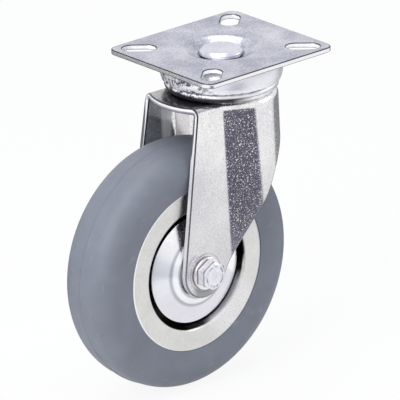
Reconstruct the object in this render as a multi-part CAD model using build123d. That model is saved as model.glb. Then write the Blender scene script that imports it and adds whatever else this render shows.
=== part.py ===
"""Swivel castor: pressed steel fork, solid rubber tyre on a pressed steel rim, roller bearing.

Frame: the origin is the centre of the top plate's mounting face, on the swivel axis. +Z is up,
the plate's long side runs along X, the wheel trails towards -X and turns about an axis along Y.
The near side is -Y, where the axle bolt has its head. All sizes are in millimetres.
"""
from build123d import *
from math import asin, atan2, cos, degrees, hypot, radians, sin, sqrt
import os

# ---- driving dimensions -------------------------------------------------------------------
# top plate
PLATE_GAUGE, PLATE_LENGTH, PLATE_WIDTH, PLATE_CORNER_R = 2.5, 82.0, 74.0, 5.0
SLOT_SPACING_X, SLOT_SPACING_Y = 59.0, 53.0
SLOT_LENGTH, SLOT_WIDTH = 16.5, 9.0
DISH_RIM_R, DISH_FLOOR_R, DISH_DEPTH, DISH_BEND_R = 18.6, 12.4, 3.4, 4.0

# kingpin: a rivet whose head lies in the dish
PIN_HEAD_R, PIN_HEAD_TOP_Z, PIN_HEAD_CHAMFER, PIN_HEAD_DROP = 10.6, -0.2, 1.5, 1.2
PIN_SHANK_R, PIN_TAIL_R = 7.0, 6.0
PIN_RIVET_R, PIN_RIVET_H, PIN_RIVET_EDGE = 9.0, 3.4, 1.0
PIN_WASHER_R, PIN_WASHER_H = 10.6, 2.0

# ball races of the swivel head
HOUSING_GAUGE, HOUSING_HOLE_R, HOUSING_BEND_R = 2.1, 19.9, 5.0
HOUSING_WALL_R, HOUSING_WALL_END_Z = 27.9, -11.4     # inside of the wall at its widest
HOUSING_LIP_R, HOUSING_LIP_Z = 27.1, -14.2           # inside of the wall at its lower lip
UPPER_BALL_R, UPPER_BALL_COUNT, UPPER_TRACK_R = 3.175, 16, 4.0
LOWER_BALL_R, LOWER_BALL_COUNT, LOWER_TRACK_R = 2.5, 12, 3.1
BALL_PLAY, CONTACT_ANGLE = 0.03, 60.0
CUP_GAUGE, CUP_RIM_Z = 2.0, -12.4

# dust ring on the raised middle of the fork, just under the lip of the housing
DUST_GAUGE, DUST_R, DUST_TOP_Z, DUST_BEND_R = 1.0, 27.9, -14.7, 1.9

# fork
FORK_GAUGE, CROWN_Z, CROWN_BEND_R = 3.0, -19.7, 4.0  # top of the crown, round its outer edge
CROWN_FRONT_X, CROWN_ARC_R = -37.0, 32.0             # front edge: foremost point, radius of its arc
DOME_TOP_Z, DOME_WALL_R, DOME_GAUGE = -8.1, 24.0, 2.8
DOME_MOUTH_R, DOME_SHOULDER_R, DOME_FOOT_R = 5.4, 3.0, 2.4   # bends of the dome's sheet
COLLAR_R, COLLAR_END_Z = 10.5, -14.4                 # collar round the kingpin
LEG_OUT_TOP, LEG_SPLAY = 19.2, 0.026                 # outer face from the middle, per mm down
BACK_R_TOP, BACK_DRAFT = 27.5, 0.03                  # round back about the axis, per mm down
CREASE_X_TOP, CREASE_LEAN, CREASE_R = -16.5, 0.03, 3.0
FLARE_X_TOP, FLARE_LEAN, FLARE_R = -2.2, 0.0875, 8.0
LEG_END_R, LEG_FRONT_TOP = 12.8, (-32.4, -20.5)      # (x, z) where the front edge starts
REAR_KNEE, BACK_EDGE = (8.0, -63.5), (31.0, -37.0)   # (x, z) on the trimmed rear edge
SEAT_R, SEAT_RISE = 9.6, 0.1                         # flat coined round each axle hole

# wheel
TRAIL, WHEEL_Z, WHEEL_R = 31.0, -103.0, 62.5
TYRE_HALF, TYRE_SHOULDER_R, TREAD_CROWN, TYRE_LIP_LEAN = 16.5, 11.0, 0.5, 0.22
RIM_GAUGE, RIM_EDGE_R, RIM_FACE, RIM_WELL_R, RIM_BEND_R = 1.2, 41.4, 15.4, 30.6, 0.7
RIM_COLLAR = 8.0
RIVET_CIRCLE_R, RIVET_COUNT, RIVET_R, RIVET_HEAD_R, RIVET_HEAD_H = 21.5, 6, 2.4, 4.0, 1.6
HUB_IN_R, HUB_OUT_R, HUB_HALF = 10.1, 12.0, 16.3
SLEEVE_OUT_R, SLEEVE_IN_R = 6.0, 4.15
ROLLER_R, ROLLER_COUNT, ROLLER_HALF, ROLLER_CHAMFER = 1.98, 9, 14.0, 0.3
CAGE_IN_R, CAGE_OUT_R, CAGE_HALF, POCKET_PLAY = 7.4, 9.6, 14.9, 0.12
RING_IN_R, RING_INNER, RING_OUTER = 6.3, 15.0, 16.1

# thread guards, clamped between the legs and the sleeve
GUARD_GAUGE, GUARD_EDGE_R, GUARD_EDGE = 1.2, 27.5, 14.2
GUARD_SEAT_R, GUARD_SEAT_RISE, GUARD_SEAT_BEND_R = 9.2, 0.5, 0.7
GUARD_BOSS_R, GUARD_STEP_R, GUARD_STEP, GUARD_STEP_BEND_R = 13.6, 17.2, 16.3, 1.6

# axle bolt M8 with washers and a self-locking nut
BOLT_R, BOLT_STICK_OUT, BOLT_CHAMFER = 4.0, 2.2, 0.8
HEX_FLATS, HEX_FACE_R, HEX_DROP, HEAD_H = 13.0, 6.18, 1.0, 5.3
NUT_HEX_H, NUT_H, NUT_COLLAR_R, INSERT_OUT_R, INSERT_H = 6.3, 8.0, 5.9, 5.1, 1.9
WASHER_R, WASHER_HOLE_R, WASHER_H = 8.2, 4.2, 1.6

# ---- worked out from the driving dimensions -----------------------------------------------
LEG_OUT_AXLE = LEG_OUT_TOP + LEG_SPLAY * (CROWN_Z - WHEEL_Z)
SEAT_OUT = LEG_OUT_AXLE + SEAT_RISE
SEAT_IN = LEG_OUT_AXLE - FORK_GAUGE - SEAT_RISE
SLEEVE_HALF = SEAT_IN - GUARD_GAUGE
ROLLER_CIRCLE_R = (SLEEVE_OUT_R + HUB_IN_R) / 2
FIT = 0.03                             # gap of a seated piece inside one body
PICK = 0.01                            # how far a corner may lie from where it is looked for
LAP = 1.0                              # how far a cutting or a joined solid reaches past a face
FAR = 80.0                             # a length past every edge of the object

# (radius, z) sections turn about the swivel axis, (radius, y towards the near leg) about the axle
SWIVEL_SECTION = Plane.XZ
AXLE_SECTION = Plane(origin=(-TRAIL, 0, WHEEL_Z), x_dir=(0, 0, 1), z_dir=(1, 0, 0))
AXLE_LINE = Axis((-TRAIL, 0, WHEEL_Z), (0, 1, 0))


# ---- helpers ------------------------------------------------------------------------------
def turned(face, about_axle=False):
    """Full turn of a section about the swivel axis, or about the axle."""
    if about_axle:
        return revolve(AXLE_SECTION * face, AXLE_LINE)
    return revolve(SWIVEL_SECTION * face, Axis.Z)


def outline(*points):
    """Closed face through 2-D points."""
    return make_face(Polyline(*points, close=True))


def sheet(gauge, radii, *points):
    """Section of a bent sheet: a centre line with rounded corners, as thick as the gauge."""
    return trace(FilletPolyline(*points, radius=radii), gauge)


def from_angle(centre, radius, angle):
    """2-D point on a circle, by its angle in degrees."""
    return (centre[0] + radius * cos(radians(angle)), centre[1] + radius * sin(radians(angle)))


def domed(radius, base, height):
    """Section of a spherical cap that stands on a flat base."""
    ball_r = (radius ** 2 + height ** 2) / (2 * height)
    middle = (0, base + height - ball_r)
    half_way = from_angle(middle, ball_r, 90 - degrees(asin(radius / ball_r)) / 2)
    arc = ThreePointArc((radius, base), half_way, (0, base + height))
    return make_face([arc, Polyline((0, base + height), (0, base), (radius, base))])


def tube(inner_r, outer_r, low, high):
    """Section of a plain ring or tube."""
    return outline((inner_r, low), (outer_r, low), (outer_r, high), (inner_r, high))


def ring_of(shape, count, axis):
    """Copies of one solid, evenly spaced about an axis."""
    return Compound(children=[shape.rotate(axis, 360 * i / count) for i in range(count)])


def far_side(near_piece):
    """The same piece mirrored to the far side of the middle plane."""
    return mirror(near_piece, about=Plane.XZ)


def hexagon(flats):
    """Hexagon in the XZ plane round the axle, corners up and down."""
    shape = RegularPolygon(flats / 2, 6, major_radius=False, rotation=30)
    return Plane(origin=(-TRAIL, 0, WHEEL_Z), x_dir=(1, 0, 0), z_dir=(0, -1, 0)) * shape


# ---- top plate and swivel head ------------------------------------------------------------
def top_plate():
    """Plate with a pressed dish for the kingpin's head and four slots that point at its middle."""
    join_r = DISH_RIM_R + DISH_BEND_R + LAP
    middle = -PLATE_GAUGE / 2
    dish = sheet(PLATE_GAUGE, DISH_BEND_R,
                 (PIN_SHANK_R + FIT, middle - DISH_DEPTH), (DISH_FLOOR_R, middle - DISH_DEPTH),
                 (DISH_RIM_R, middle), (join_r, middle))
    plate = extrude(RectangleRounded(PLATE_LENGTH, PLATE_WIDTH, PLATE_CORNER_R) - Circle(join_r),
                    -PLATE_GAUGE)
    plate += turned(dish)
    slot_angle = degrees(atan2(SLOT_SPACING_Y, SLOT_SPACING_X))
    for side_x in (-1, 1):
        for side_y in (-1, 1):
            place = Pos(side_x * SLOT_SPACING_X / 2, side_y * SLOT_SPACING_Y / 2, 0)
            slot = place * Rot(0, 0, side_x * side_y * slot_angle) * SlotOverall(SLOT_LENGTH, SLOT_WIDTH)
            plate -= extrude(slot, -2 * PLATE_GAUGE)
    return plate


def upper_corner():
    """Centre of the housing's inner corner, whose radius is the upper track's."""
    return (HOUSING_WALL_R - UPPER_TRACK_R, -PLATE_GAUGE - HOUSING_GAUGE - UPPER_TRACK_R)


def race_housing():
    """Inverted pressed bowl under the plate: its inner corner is the upper row's outer track."""
    half = HOUSING_GAUGE / 2
    wall = HOUSING_WALL_R + half
    return turned(sheet(HOUSING_GAUGE, [UPPER_TRACK_R + half, HOUSING_BEND_R],
                        (HOUSING_HOLE_R, -PLATE_GAUGE - half), (wall, -PLATE_GAUGE - half),
                        (wall, HOUSING_WALL_END_Z), (HOUSING_LIP_R + half, HOUSING_LIP_Z)))


def upper_ball_centre():
    """Centre of an upper ball, pressed into the housing's corner along the contact angle."""
    slack = UPPER_TRACK_R - UPPER_BALL_R - BALL_PLAY
    return from_angle(upper_corner(), slack, CONTACT_ANGLE)


def lower_corner():
    """Centre of the concave corner between the dome's underside and its collar."""
    return (COLLAR_R + LOWER_TRACK_R, DOME_TOP_Z - DOME_GAUGE - LOWER_TRACK_R)


def lower_ball_centre():
    """Centre of a lower ball, pressed into the corner at the collar."""
    slack = LOWER_TRACK_R - LOWER_BALL_R - BALL_PLAY
    return from_angle(lower_corner(), slack, 180 - CONTACT_ANGLE)


def cup_corner():
    """Centre of the lower cup's inner corner, on the other side of the lower balls."""
    slack = LOWER_TRACK_R - LOWER_BALL_R - BALL_PLAY
    return from_angle(lower_ball_centre(), slack, 180 - CONTACT_ANGLE)


def balls(centre, radius, count):
    """One full row of balls."""
    return ring_of(Pos(centre[0], 0, centre[1]) * Sphere(radius), count, Axis.Z)


def cup_floor_z():
    """Inside of the lower cup's floor, where the kingpin's shoulder stands."""
    return cup_corner()[1] - LOWER_TRACK_R


def lower_race_cup():
    """Pressed cup on the kingpin's tail that carries the lower balls from below."""
    half = CUP_GAUGE / 2
    floor = cup_floor_z() - half
    wall = cup_corner()[0] + LOWER_TRACK_R + half
    return turned(sheet(CUP_GAUGE, LOWER_TRACK_R + half,
                        (PIN_TAIL_R + FIT, floor), (wall, floor), (wall, CUP_RIM_Z)))


def kingpin():
    """Rivet through plate, fork and cup: chamfered head, shouldered shank, peened lower head."""
    seat = -DISH_DEPTH
    shoulder = cup_floor_z()
    peen = shoulder - CUP_GAUGE - PIN_WASHER_H
    edge = peen - PIN_RIVET_EDGE
    body = outline((0, PIN_HEAD_TOP_Z), (PIN_HEAD_R - PIN_HEAD_CHAMFER, PIN_HEAD_TOP_Z),
                   (PIN_HEAD_R, PIN_HEAD_TOP_Z - PIN_HEAD_DROP), (PIN_HEAD_R, seat),
                   (PIN_SHANK_R, seat), (PIN_SHANK_R, shoulder), (PIN_TAIL_R, shoulder),
                   (PIN_TAIL_R, peen), (PIN_RIVET_R, peen), (PIN_RIVET_R, edge), (0, edge))
    return turned(body + domed(PIN_RIVET_R, edge, PIN_RIVET_EDGE - PIN_RIVET_H))


def kingpin_washer():
    """Hardened washer under the peened head."""
    top = cup_floor_z() - CUP_GAUGE
    return turned(tube(PIN_TAIL_R + FIT, PIN_WASHER_R, top - PIN_WASHER_H, top))


def dust_ring():
    """Rolled ring round the dome: it stands on the crown and closes the gap under the housing."""
    half = DUST_GAUGE / 2
    inner, outer = DOME_WALL_R + FIT, DUST_R - half
    top, bottom = DUST_TOP_Z - half, CROWN_Z + FIT + half
    return turned(sheet(DUST_GAUGE, DUST_BEND_R,
                        (inner, top), (outer, top), (outer, bottom), (inner, bottom)))


# ---- fork ---------------------------------------------------------------------------------
def plan_section(z, inset):
    """Horseshoe plan of the fork at one height: flat fronts, flares, round back about the axis."""
    down = CROWN_Z - z
    leg = LEG_OUT_TOP + LEG_SPLAY * down
    back = BACK_R_TOP + BACK_DRAFT * down
    crease_x = CREASE_X_TOP + CREASE_LEAN * down
    flare_x = FLARE_X_TOP + FLARE_LEAN * down
    flare_y = sqrt(back ** 2 - flare_x ** 2)
    sides = Polyline((flare_x, flare_y), (crease_x, leg), (-FAR, leg), (-FAR, -leg),
                     (crease_x, -leg), (flare_x, -flare_y))
    rear = ThreePointArc((flare_x, -flare_y), (back, 0), (flare_x, flare_y))
    face = make_face([sides, rear])
    corners = face.vertices()
    face = fillet(corners.filter_by(lambda v: abs(v.X - crease_x) < PICK), CREASE_R)
    face = fillet(face.vertices().filter_by(lambda v: abs(v.X - flare_x) < PICK), FLARE_R)
    if inset:
        face = offset(face, -inset)
    return Pos(0, 0, z) * face


def plan_block(top_z, inset, bend_r):
    """Solid between the plan sections at two heights, its upper edge rounded."""
    block = loft([plan_section(top_z, inset), plan_section(WHEEL_Z - 2 * LEG_END_R, inset)],
                 ruled=True)
    return fillet(block.faces().sort_by(Axis.Z)[-1].edges().filter_by(lambda e: e.center().X > -FAR + LAP),
                  bend_r)


def tangent_point(point, centre, radius, side):
    """Where the line from a point touches a circle; side picks one of the two."""
    away = hypot(point[0] - centre[0], point[1] - centre[1])
    base = degrees(atan2(point[1] - centre[1], point[0] - centre[0]))
    swing = degrees(atan2(sqrt(away ** 2 - radius ** 2), radius))
    return from_angle(centre, radius, base + side * swing)


def side_outline():
    """Trimmed side view of the legs and the back, as (x, z)."""
    axle = (-TRAIL, WHEEL_Z)
    front_end = tangent_point(LEG_FRONT_TOP, axle, LEG_END_R, 1)
    rear_end = tangent_point(REAR_KNEE, axle, LEG_END_R, -1)
    rise = (REAR_KNEE[0] - rear_end[0], REAR_KNEE[1] - rear_end[1])
    lowest = from_angle(axle, LEG_END_R, -80)
    edge = [Polyline((BACK_EDGE[0], 0), (LEG_FRONT_TOP[0], 0), LEG_FRONT_TOP, front_end),
            ThreePointArc(front_end, lowest, rear_end),
            Line(rear_end, REAR_KNEE),
            TangentArc(REAR_KNEE, BACK_EDGE, tangent=rise),
            Line(BACK_EDGE, (BACK_EDGE[0], 0))]
    return Plane.XZ * make_face(edge)


def dome_section():
    """Half section of the raised middle of the crown, with the collar and both ball tracks."""
    under = DOME_TOP_Z - DOME_GAUGE
    inner_wall = DOME_WALL_R - DOME_GAUGE
    collar_in = COLLAR_R - DOME_GAUGE
    foot = CROWN_Z - FORK_GAUGE
    face = outline((collar_in, COLLAR_END_Z), (COLLAR_R, COLLAR_END_Z), (COLLAR_R, under),
                   (inner_wall, under), (inner_wall, foot), (DOME_WALL_R, foot),
                   (DOME_WALL_R, DOME_TOP_Z), (collar_in, DOME_TOP_Z))

    def at(x, z):
        return face.vertices().filter_by(lambda v: hypot(v.X - x, v.Y - z) < PICK)

    face = fillet(at(COLLAR_R, under), LOWER_TRACK_R)
    face = fillet(at(collar_in, DOME_TOP_Z), DOME_MOUTH_R)
    face = fillet(at(inner_wall, under), DOME_SHOULDER_R)
    face = fillet(at(inner_wall, foot), DOME_FOOT_R)
    slack = UPPER_TRACK_R - UPPER_BALL_R - BALL_PLAY
    track = from_angle(upper_ball_centre(), slack, CONTACT_ANGLE)
    return face - Pos(*track) * Circle(UPPER_TRACK_R)


def fork():
    """One pressing: crown with a raised race, flat-fronted legs that flare into a round back."""
    shell = plan_block(CROWN_Z, 0, CROWN_BEND_R)
    shell -= plan_block(CROWN_Z - FORK_GAUGE, FORK_GAUGE, CROWN_BEND_R - FORK_GAUGE)
    legs = extrude(side_outline(), FAR, both=True)
    front_arc = Pos(CROWN_FRONT_X + CROWN_ARC_R, 0) * Circle(CROWN_ARC_R)
    half_chord = sqrt(CROWN_ARC_R ** 2 - (LEG_FRONT_TOP[0] - CROWN_FRONT_X - CROWN_ARC_R) ** 2)
    crown = extrude(front_arc & Rectangle(2 * FAR, 2 * half_chord), -FORK_GAUGE - 2 * LAP)
    body = shell & (legs + Pos(0, 0, CROWN_Z + LAP) * crown)
    body -= Pos(0, 0, CROWN_Z) * Cylinder(DOME_WALL_R - DOME_GAUGE / 2, 3 * FORK_GAUGE)
    body += turned(dome_section())
    for side in (-1, 1):
        outside = Plane(origin=(-TRAIL, side * SEAT_OUT, WHEEL_Z), z_dir=(0, side, 0))
        inside = Plane(origin=(-TRAIL, side * SEAT_IN, WHEEL_Z), z_dir=(0, -side, 0))
        body += extrude(outside * Circle(SEAT_R), -(SEAT_OUT - SEAT_IN))
        body -= extrude(outside * Circle(SEAT_R), FORK_GAUGE)
        body -= extrude(inside * Circle(SEAT_R), FORK_GAUGE)
    return body - Pos(-TRAIL, 0, WHEEL_Z) * Rot(90, 0, 0) * Cylinder(WASHER_HOLE_R, 2 * FAR)


# ---- axle ---------------------------------------------------------------------------------
def hex_prism(flats, start, height):
    """Hexagonal prism on the near side, from a distance off the middle plane outwards."""
    return Pos(0, -start, 0) * extrude(hexagon(flats), height)


def chamfer_tool(flats, end, height):
    """Turned blank that takes the corners off a hexagon at its outer end."""
    corner = flats / sqrt(3) + FIT
    return turned(outline((0, end - height), (corner, end - height), (corner, end - HEX_DROP),
                          (HEX_FACE_R, end), (0, end)), about_axle=True)


def axle_bolt():
    """Hexagon bolt with its head on the near side."""
    seat = SEAT_OUT + WASHER_H
    head = hex_prism(HEX_FLATS, seat, HEAD_H) & chamfer_tool(HEX_FLATS, seat + HEAD_H, HEAD_H)
    tip = -(seat + NUT_H + BOLT_STICK_OUT)
    shank = turned(outline((0, tip), (BOLT_R - BOLT_CHAMFER, tip), (BOLT_R, tip + BOLT_CHAMFER),
                           (BOLT_R, seat), (0, seat)), about_axle=True)
    return head + shank


def axle_washer():
    """Plain washer under the bolt's head."""
    return turned(tube(WASHER_HOLE_R, WASHER_R, SEAT_OUT, SEAT_OUT + WASHER_H), about_axle=True)


def axle_nut():
    """Self-locking nut: hexagon and a turned collar that holds a plastic ring."""
    seat = SEAT_OUT + WASHER_H
    body = hex_prism(HEX_FLATS, seat, NUT_HEX_H) & chamfer_tool(HEX_FLATS, seat + NUT_HEX_H, NUT_HEX_H)
    body += turned(tube(0, NUT_COLLAR_R, seat + LAP, seat + NUT_H), about_axle=True)
    body -= turned(tube(0, BOLT_R + FIT, 0, seat + NUT_H + LAP), about_axle=True)
    pocket = tube(0, INSERT_OUT_R + FIT, seat + NUT_H - INSERT_H - FIT, seat + NUT_H - FIT)
    return far_side(body - turned(pocket, about_axle=True))


def axle_nut_insert():
    """Plastic ring in the nut's collar that grips the thread."""
    top = SEAT_OUT + WASHER_H + NUT_H - 2 * FIT
    return far_side(turned(tube(BOLT_R + FIT, INSERT_OUT_R, top - INSERT_H + FIT, top), about_axle=True))


def axle_sleeve():
    """Steel sleeve on the bolt: the legs clamp it, and the rollers run on it."""
    return turned(tube(SLEEVE_IN_R, SLEEVE_OUT_R, -SLEEVE_HALF, SLEEVE_HALF), about_axle=True)


def thread_guard():
    """Dished cover disc between the near leg and the wheel, with a raised boss and a seat on it."""
    half = GUARD_GAUGE / 2
    seat = SEAT_IN - half
    boss = seat - GUARD_SEAT_RISE
    bends = [GUARD_SEAT_BEND_R] * 2 + [GUARD_STEP_BEND_R] * 2
    line = sheet(GUARD_GAUGE, bends,
                 (SLEEVE_IN_R, seat), (GUARD_SEAT_R, seat), (GUARD_SEAT_R + 2 * GUARD_SEAT_RISE, boss),
                 (GUARD_BOSS_R, boss), (GUARD_STEP_R, GUARD_STEP - half),
                 (GUARD_EDGE_R, GUARD_EDGE - half))
    return turned(line, about_axle=True)


# ---- wheel --------------------------------------------------------------------------------
def tyre():
    """Solid tyre: it fills the rim between the flanges and swells past them."""
    base = RIM_WELL_R + RIM_GAUGE + FIT
    inside = RIM_FACE - RIM_GAUGE - FIT
    lip = RIM_EDGE_R + FIT * 2
    tread = WHEEL_R - TREAD_CROWN
    shoulder = (tread - TYRE_SHOULDER_R, TYRE_HALF - TYRE_SHOULDER_R)
    top = (WHEEL_R, 0)
    side = (tread - TYRE_SHOULDER_R, TYRE_HALF)
    turn = from_angle(shoulder, TYRE_SHOULDER_R, 45)
    tread_end = (tread, shoulder[1])
    lines = [Polyline((base, 0), (base, inside), (lip, inside), (lip, RIM_FACE)),
             Spline((lip, RIM_FACE), side, tangents=[(1, TYRE_LIP_LEAN), (1, 0)]),
             ThreePointArc(side, turn, tread_end),
             Spline(tread_end, top, tangents=[(0, -1), (0, -1)]),
             Line(top, (base, 0))]
    half = make_face(lines)
    corner = half.vertices().filter_by(lambda v: hypot(v.X - base, v.Y - inside) < PICK)
    half = fillet(corner, RIM_BEND_R)
    near = turned(half, about_axle=True)
    return near + far_side(near)


def rim_disc():
    """Near half of the rim: flat flange, deep well, web to the middle plane, collar on the hub."""
    half = RIM_GAUGE / 2
    collar_r = HUB_OUT_R + FIT + half
    web = half + FIT / 2
    disc = turned(sheet(RIM_GAUGE, RIM_BEND_R, (collar_r, RIM_COLLAR), (collar_r, web),
                        (RIM_WELL_R + half, web), (RIM_WELL_R + half, RIM_FACE - half),
                        (RIM_EDGE_R, RIM_FACE - half)), about_axle=True)
    hole = Pos(-TRAIL, 0, WHEEL_Z + RIVET_CIRCLE_R) * Rot(90, 0, 0) * Cylinder(RIVET_R + FIT, 4 * RIM_GAUGE)
    return disc - ring_of(hole, RIVET_COUNT, AXLE_LINE)


def rim_rivets():
    """Rivets that join the two webs, with a domed head each side."""
    face = RIM_GAUGE + FIT / 2
    section = tube(0, RIVET_R, -face, face) + domed(RIVET_HEAD_R, face, RIVET_HEAD_H)
    section += domed(RIVET_HEAD_R, -face, -RIVET_HEAD_H)
    rivet = Pos(0, 0, RIVET_CIRCLE_R) * turned(section, about_axle=True)
    return ring_of(rivet, RIVET_COUNT, AXLE_LINE)


def hub_tube():
    """Steel tube in the collars of the rim: its bore is the rollers' outer track."""
    return turned(tube(HUB_IN_R, HUB_OUT_R, -HUB_HALF, HUB_HALF), about_axle=True)


def bearing_ring():
    """Washer pressed into the near end of the hub tube, which keeps the rollers in."""
    return turned(tube(RING_IN_R, HUB_IN_R - FIT, RING_INNER, RING_OUTER), about_axle=True)


def rollers():
    """Needle rollers between sleeve and hub tube."""
    end_r, edge = ROLLER_R - ROLLER_CHAMFER, ROLLER_HALF - ROLLER_CHAMFER
    bar = turned(outline((0, -ROLLER_HALF), (end_r, -ROLLER_HALF), (ROLLER_R, -edge), (ROLLER_R, edge),
                         (end_r, ROLLER_HALF), (0, ROLLER_HALF)), about_axle=True)
    return ring_of(Pos(0, 0, ROLLER_CIRCLE_R) * bar, ROLLER_COUNT, AXLE_LINE)


def roller_cage():
    """Moulded cage with one long pocket per roller."""
    cage = turned(tube(CAGE_IN_R, CAGE_OUT_R, -CAGE_HALF, CAGE_HALF), about_axle=True)
    width, length = 2 * (ROLLER_R + POCKET_PLAY), 2 * (ROLLER_HALF + POCKET_PLAY)
    pocket = Pos(-TRAIL, 0, WHEEL_Z + ROLLER_CIRCLE_R) * Box(width, length, 4 * ROLLER_R)
    return cage - ring_of(pocket, ROLLER_COUNT, AXLE_LINE)


# ---- write the nodes ----------------------------------------------------------------------
def main():
    """Build every piece and write one STEP file for each node."""
    near_disc, near_guard = rim_disc(), thread_guard()
    near_washer, near_ring = axle_washer(), bearing_ring()
    nodes = {
        "top_plate": top_plate(),
        "race_housing": race_housing(),
        "kingpin": kingpin(),
        "kingpin_washer": kingpin_washer(),
        "lower_race_cup": lower_race_cup(),
        "dust_ring": dust_ring(),
        "upper_balls": balls(upper_ball_centre(), UPPER_BALL_R, UPPER_BALL_COUNT),
        "lower_balls": balls(lower_ball_centre(), LOWER_BALL_R, LOWER_BALL_COUNT),
        "fork": fork(),
        "axle_bolt": axle_bolt(),
        "axle_washer_near": near_washer,
        "axle_washer_far": far_side(near_washer),
        "axle_nut": axle_nut(),
        "axle_nut_insert": axle_nut_insert(),
        "axle_sleeve": axle_sleeve(),
        "thread_guard_near": near_guard,
        "thread_guard_far": far_side(near_guard),
        "tyre": tyre(),
        "rim_disc_near": near_disc,
        "rim_disc_far": far_side(near_disc),
        "rim_rivets": rim_rivets(),
        "hub_tube": hub_tube(),
        "bearing_ring_near": near_ring,
        "bearing_ring_far": far_side(near_ring),
        "rollers": rollers(),
        "roller_cage": roller_cage(),
    }
    os.makedirs("parts", exist_ok=True)
    for node, shape in nodes.items():
        export_step(shape, f"parts/{node}.step")


main()
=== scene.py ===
"""Swivel castor: the looks of every visible piece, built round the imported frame.

The frame's origin is the centre of the top plate's mounting face, on the swivel axis. +Z is up, X
runs along the plate's long side, the wheel trails towards -X, and the axle lies along Y with the
bolt's head at -Y, the near side. Sizes here are in millimetres; the meshes are written in metres.
"""
from __future__ import annotations

import logging
from dataclasses import dataclass, field, replace
from enum import Enum

import bmesh
import bpy
import numpy as np
from mathutils import Matrix, Vector


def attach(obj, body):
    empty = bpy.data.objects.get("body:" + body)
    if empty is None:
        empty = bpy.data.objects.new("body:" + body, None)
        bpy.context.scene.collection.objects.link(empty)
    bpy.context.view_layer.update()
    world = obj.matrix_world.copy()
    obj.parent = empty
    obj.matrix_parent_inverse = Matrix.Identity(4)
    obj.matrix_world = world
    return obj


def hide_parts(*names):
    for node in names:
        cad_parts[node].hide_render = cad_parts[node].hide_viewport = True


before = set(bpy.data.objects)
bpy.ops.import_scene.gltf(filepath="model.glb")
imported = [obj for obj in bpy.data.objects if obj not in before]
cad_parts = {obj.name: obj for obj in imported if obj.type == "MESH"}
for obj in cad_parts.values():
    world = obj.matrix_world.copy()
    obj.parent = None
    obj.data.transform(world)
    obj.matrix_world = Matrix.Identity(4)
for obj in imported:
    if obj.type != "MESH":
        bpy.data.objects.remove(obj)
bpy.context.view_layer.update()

Array = np.ndarray
Pair = tuple[float, float]
Triple = tuple[float, float, float]
Band = tuple[float, float, float, float]
Socket = bpy.types.NodeSocket

LOG = logging.getLogger("castor")
CUT_EDGE = "cut_edge"       # attribute: 1 on the sheared edges of a sheet
ROUNDING_CUT = 0.5          # its value in the roundings beside them
MM = 0.001
TAU = 2 * np.pi
QUARTER = np.pi / 2
SHARP_ANGLE = np.radians(38)
WELD = 1e-7                 # metres: points closer than this are one
SHORTEST = 1e-4             # millimetres: no step of an outline is shorter
TINY = 1e-12                # keeps a division by no length finite
HOLD_BACK = 1.4             # a face ends this many edge radii inside the edge of its sheet
ROUNDING_LOOPS = 4


# ---- curves and surfaces -------------------------------------------------------------------
def unit(vectors: Array) -> Array:
    """Vectors over their lengths; a vector of no length stays as it is."""
    return vectors / (np.linalg.norm(vectors, axis=-1, keepdims=True) + TINY)


def cross(a: Array, b: Array) -> Array:
    """Signed area of each pair of 2-D vectors: above zero where b lies to the left of a."""
    return a[..., 0] * b[..., 1] - a[..., 1] * b[..., 0]


def blend(start: Array | float, end: Array | float, share: Array) -> Array:
    """Straight mix: start plus share times the way to the end."""
    return start + (end - start) * share


def smooth(value: Array, low: float, high: float) -> Array:
    """Ease from 0 at low to 1 at high: 3 t^2 - 2 t^3 of the clamped share t."""
    share = np.clip((value - low) / (high - low), 0, 1)
    return share * share * (3 - 2 * share)


def rounded(points: Array | list[Pair], radii: Array | list[float], steps: int = 6) -> Array:
    """Closed 2-D outline whose corners are arcs.

    With unit directions a and b from a corner to its neighbours, and half the angle between them
    h, the arc's ends lie r / tan(h) along a and b, and its centre r / sin(h) along their sum. The
    arc turns the first end about the centre by 180 degrees less 2 h. One more point past each end,
    0.3 radii on or a tenth of the shorter side, keeps the straight runs flat in the shading.

    Args:
        points: Corners, as an (n, 2) array.
        radii: Radius at each corner.
        steps: Pieces in each arc.

    Returns:
        The outline as an (m, 2) array with no point twice in a row.
    """
    here = np.asarray(points, float)
    radius = np.asarray(radii, float)[:, None]
    back, ahead = np.roll(here, 1, 0) - here, np.roll(here, -1, 0) - here
    a, b = unit(back), unit(ahead)
    half = np.arccos(np.clip((a * b).sum(1, keepdims=True), -1, 1)) / 2
    reach = radius / np.tan(half)
    centre = here + unit(a + b) * radius / np.sin(half)
    arm = here + a * reach - centre
    turn = -np.sign(cross(a, b))[:, None] * (np.pi - 2 * half) * np.linspace(0, 1, steps + 1)
    arc = np.stack([arm[:, :1] * np.cos(turn) - arm[:, 1:] * np.sin(turn),
                    arm[:, :1] * np.sin(turn) + arm[:, 1:] * np.cos(turn)], -1)
    pad = np.minimum(0.3 * radius, 0.1 * np.minimum(np.linalg.norm(back, axis=1, keepdims=True),
                                                    np.linalg.norm(ahead, axis=1, keepdims=True)))
    line = np.concatenate([(here + a * (reach + pad))[:, None], centre[:, None] + arc,
                           (here + b * (reach + pad))[:, None]], 1).reshape(-1, 2)
    step = np.linalg.norm(line - np.roll(line, 1, 0), axis=1)
    return line[step > SHORTEST]


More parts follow.
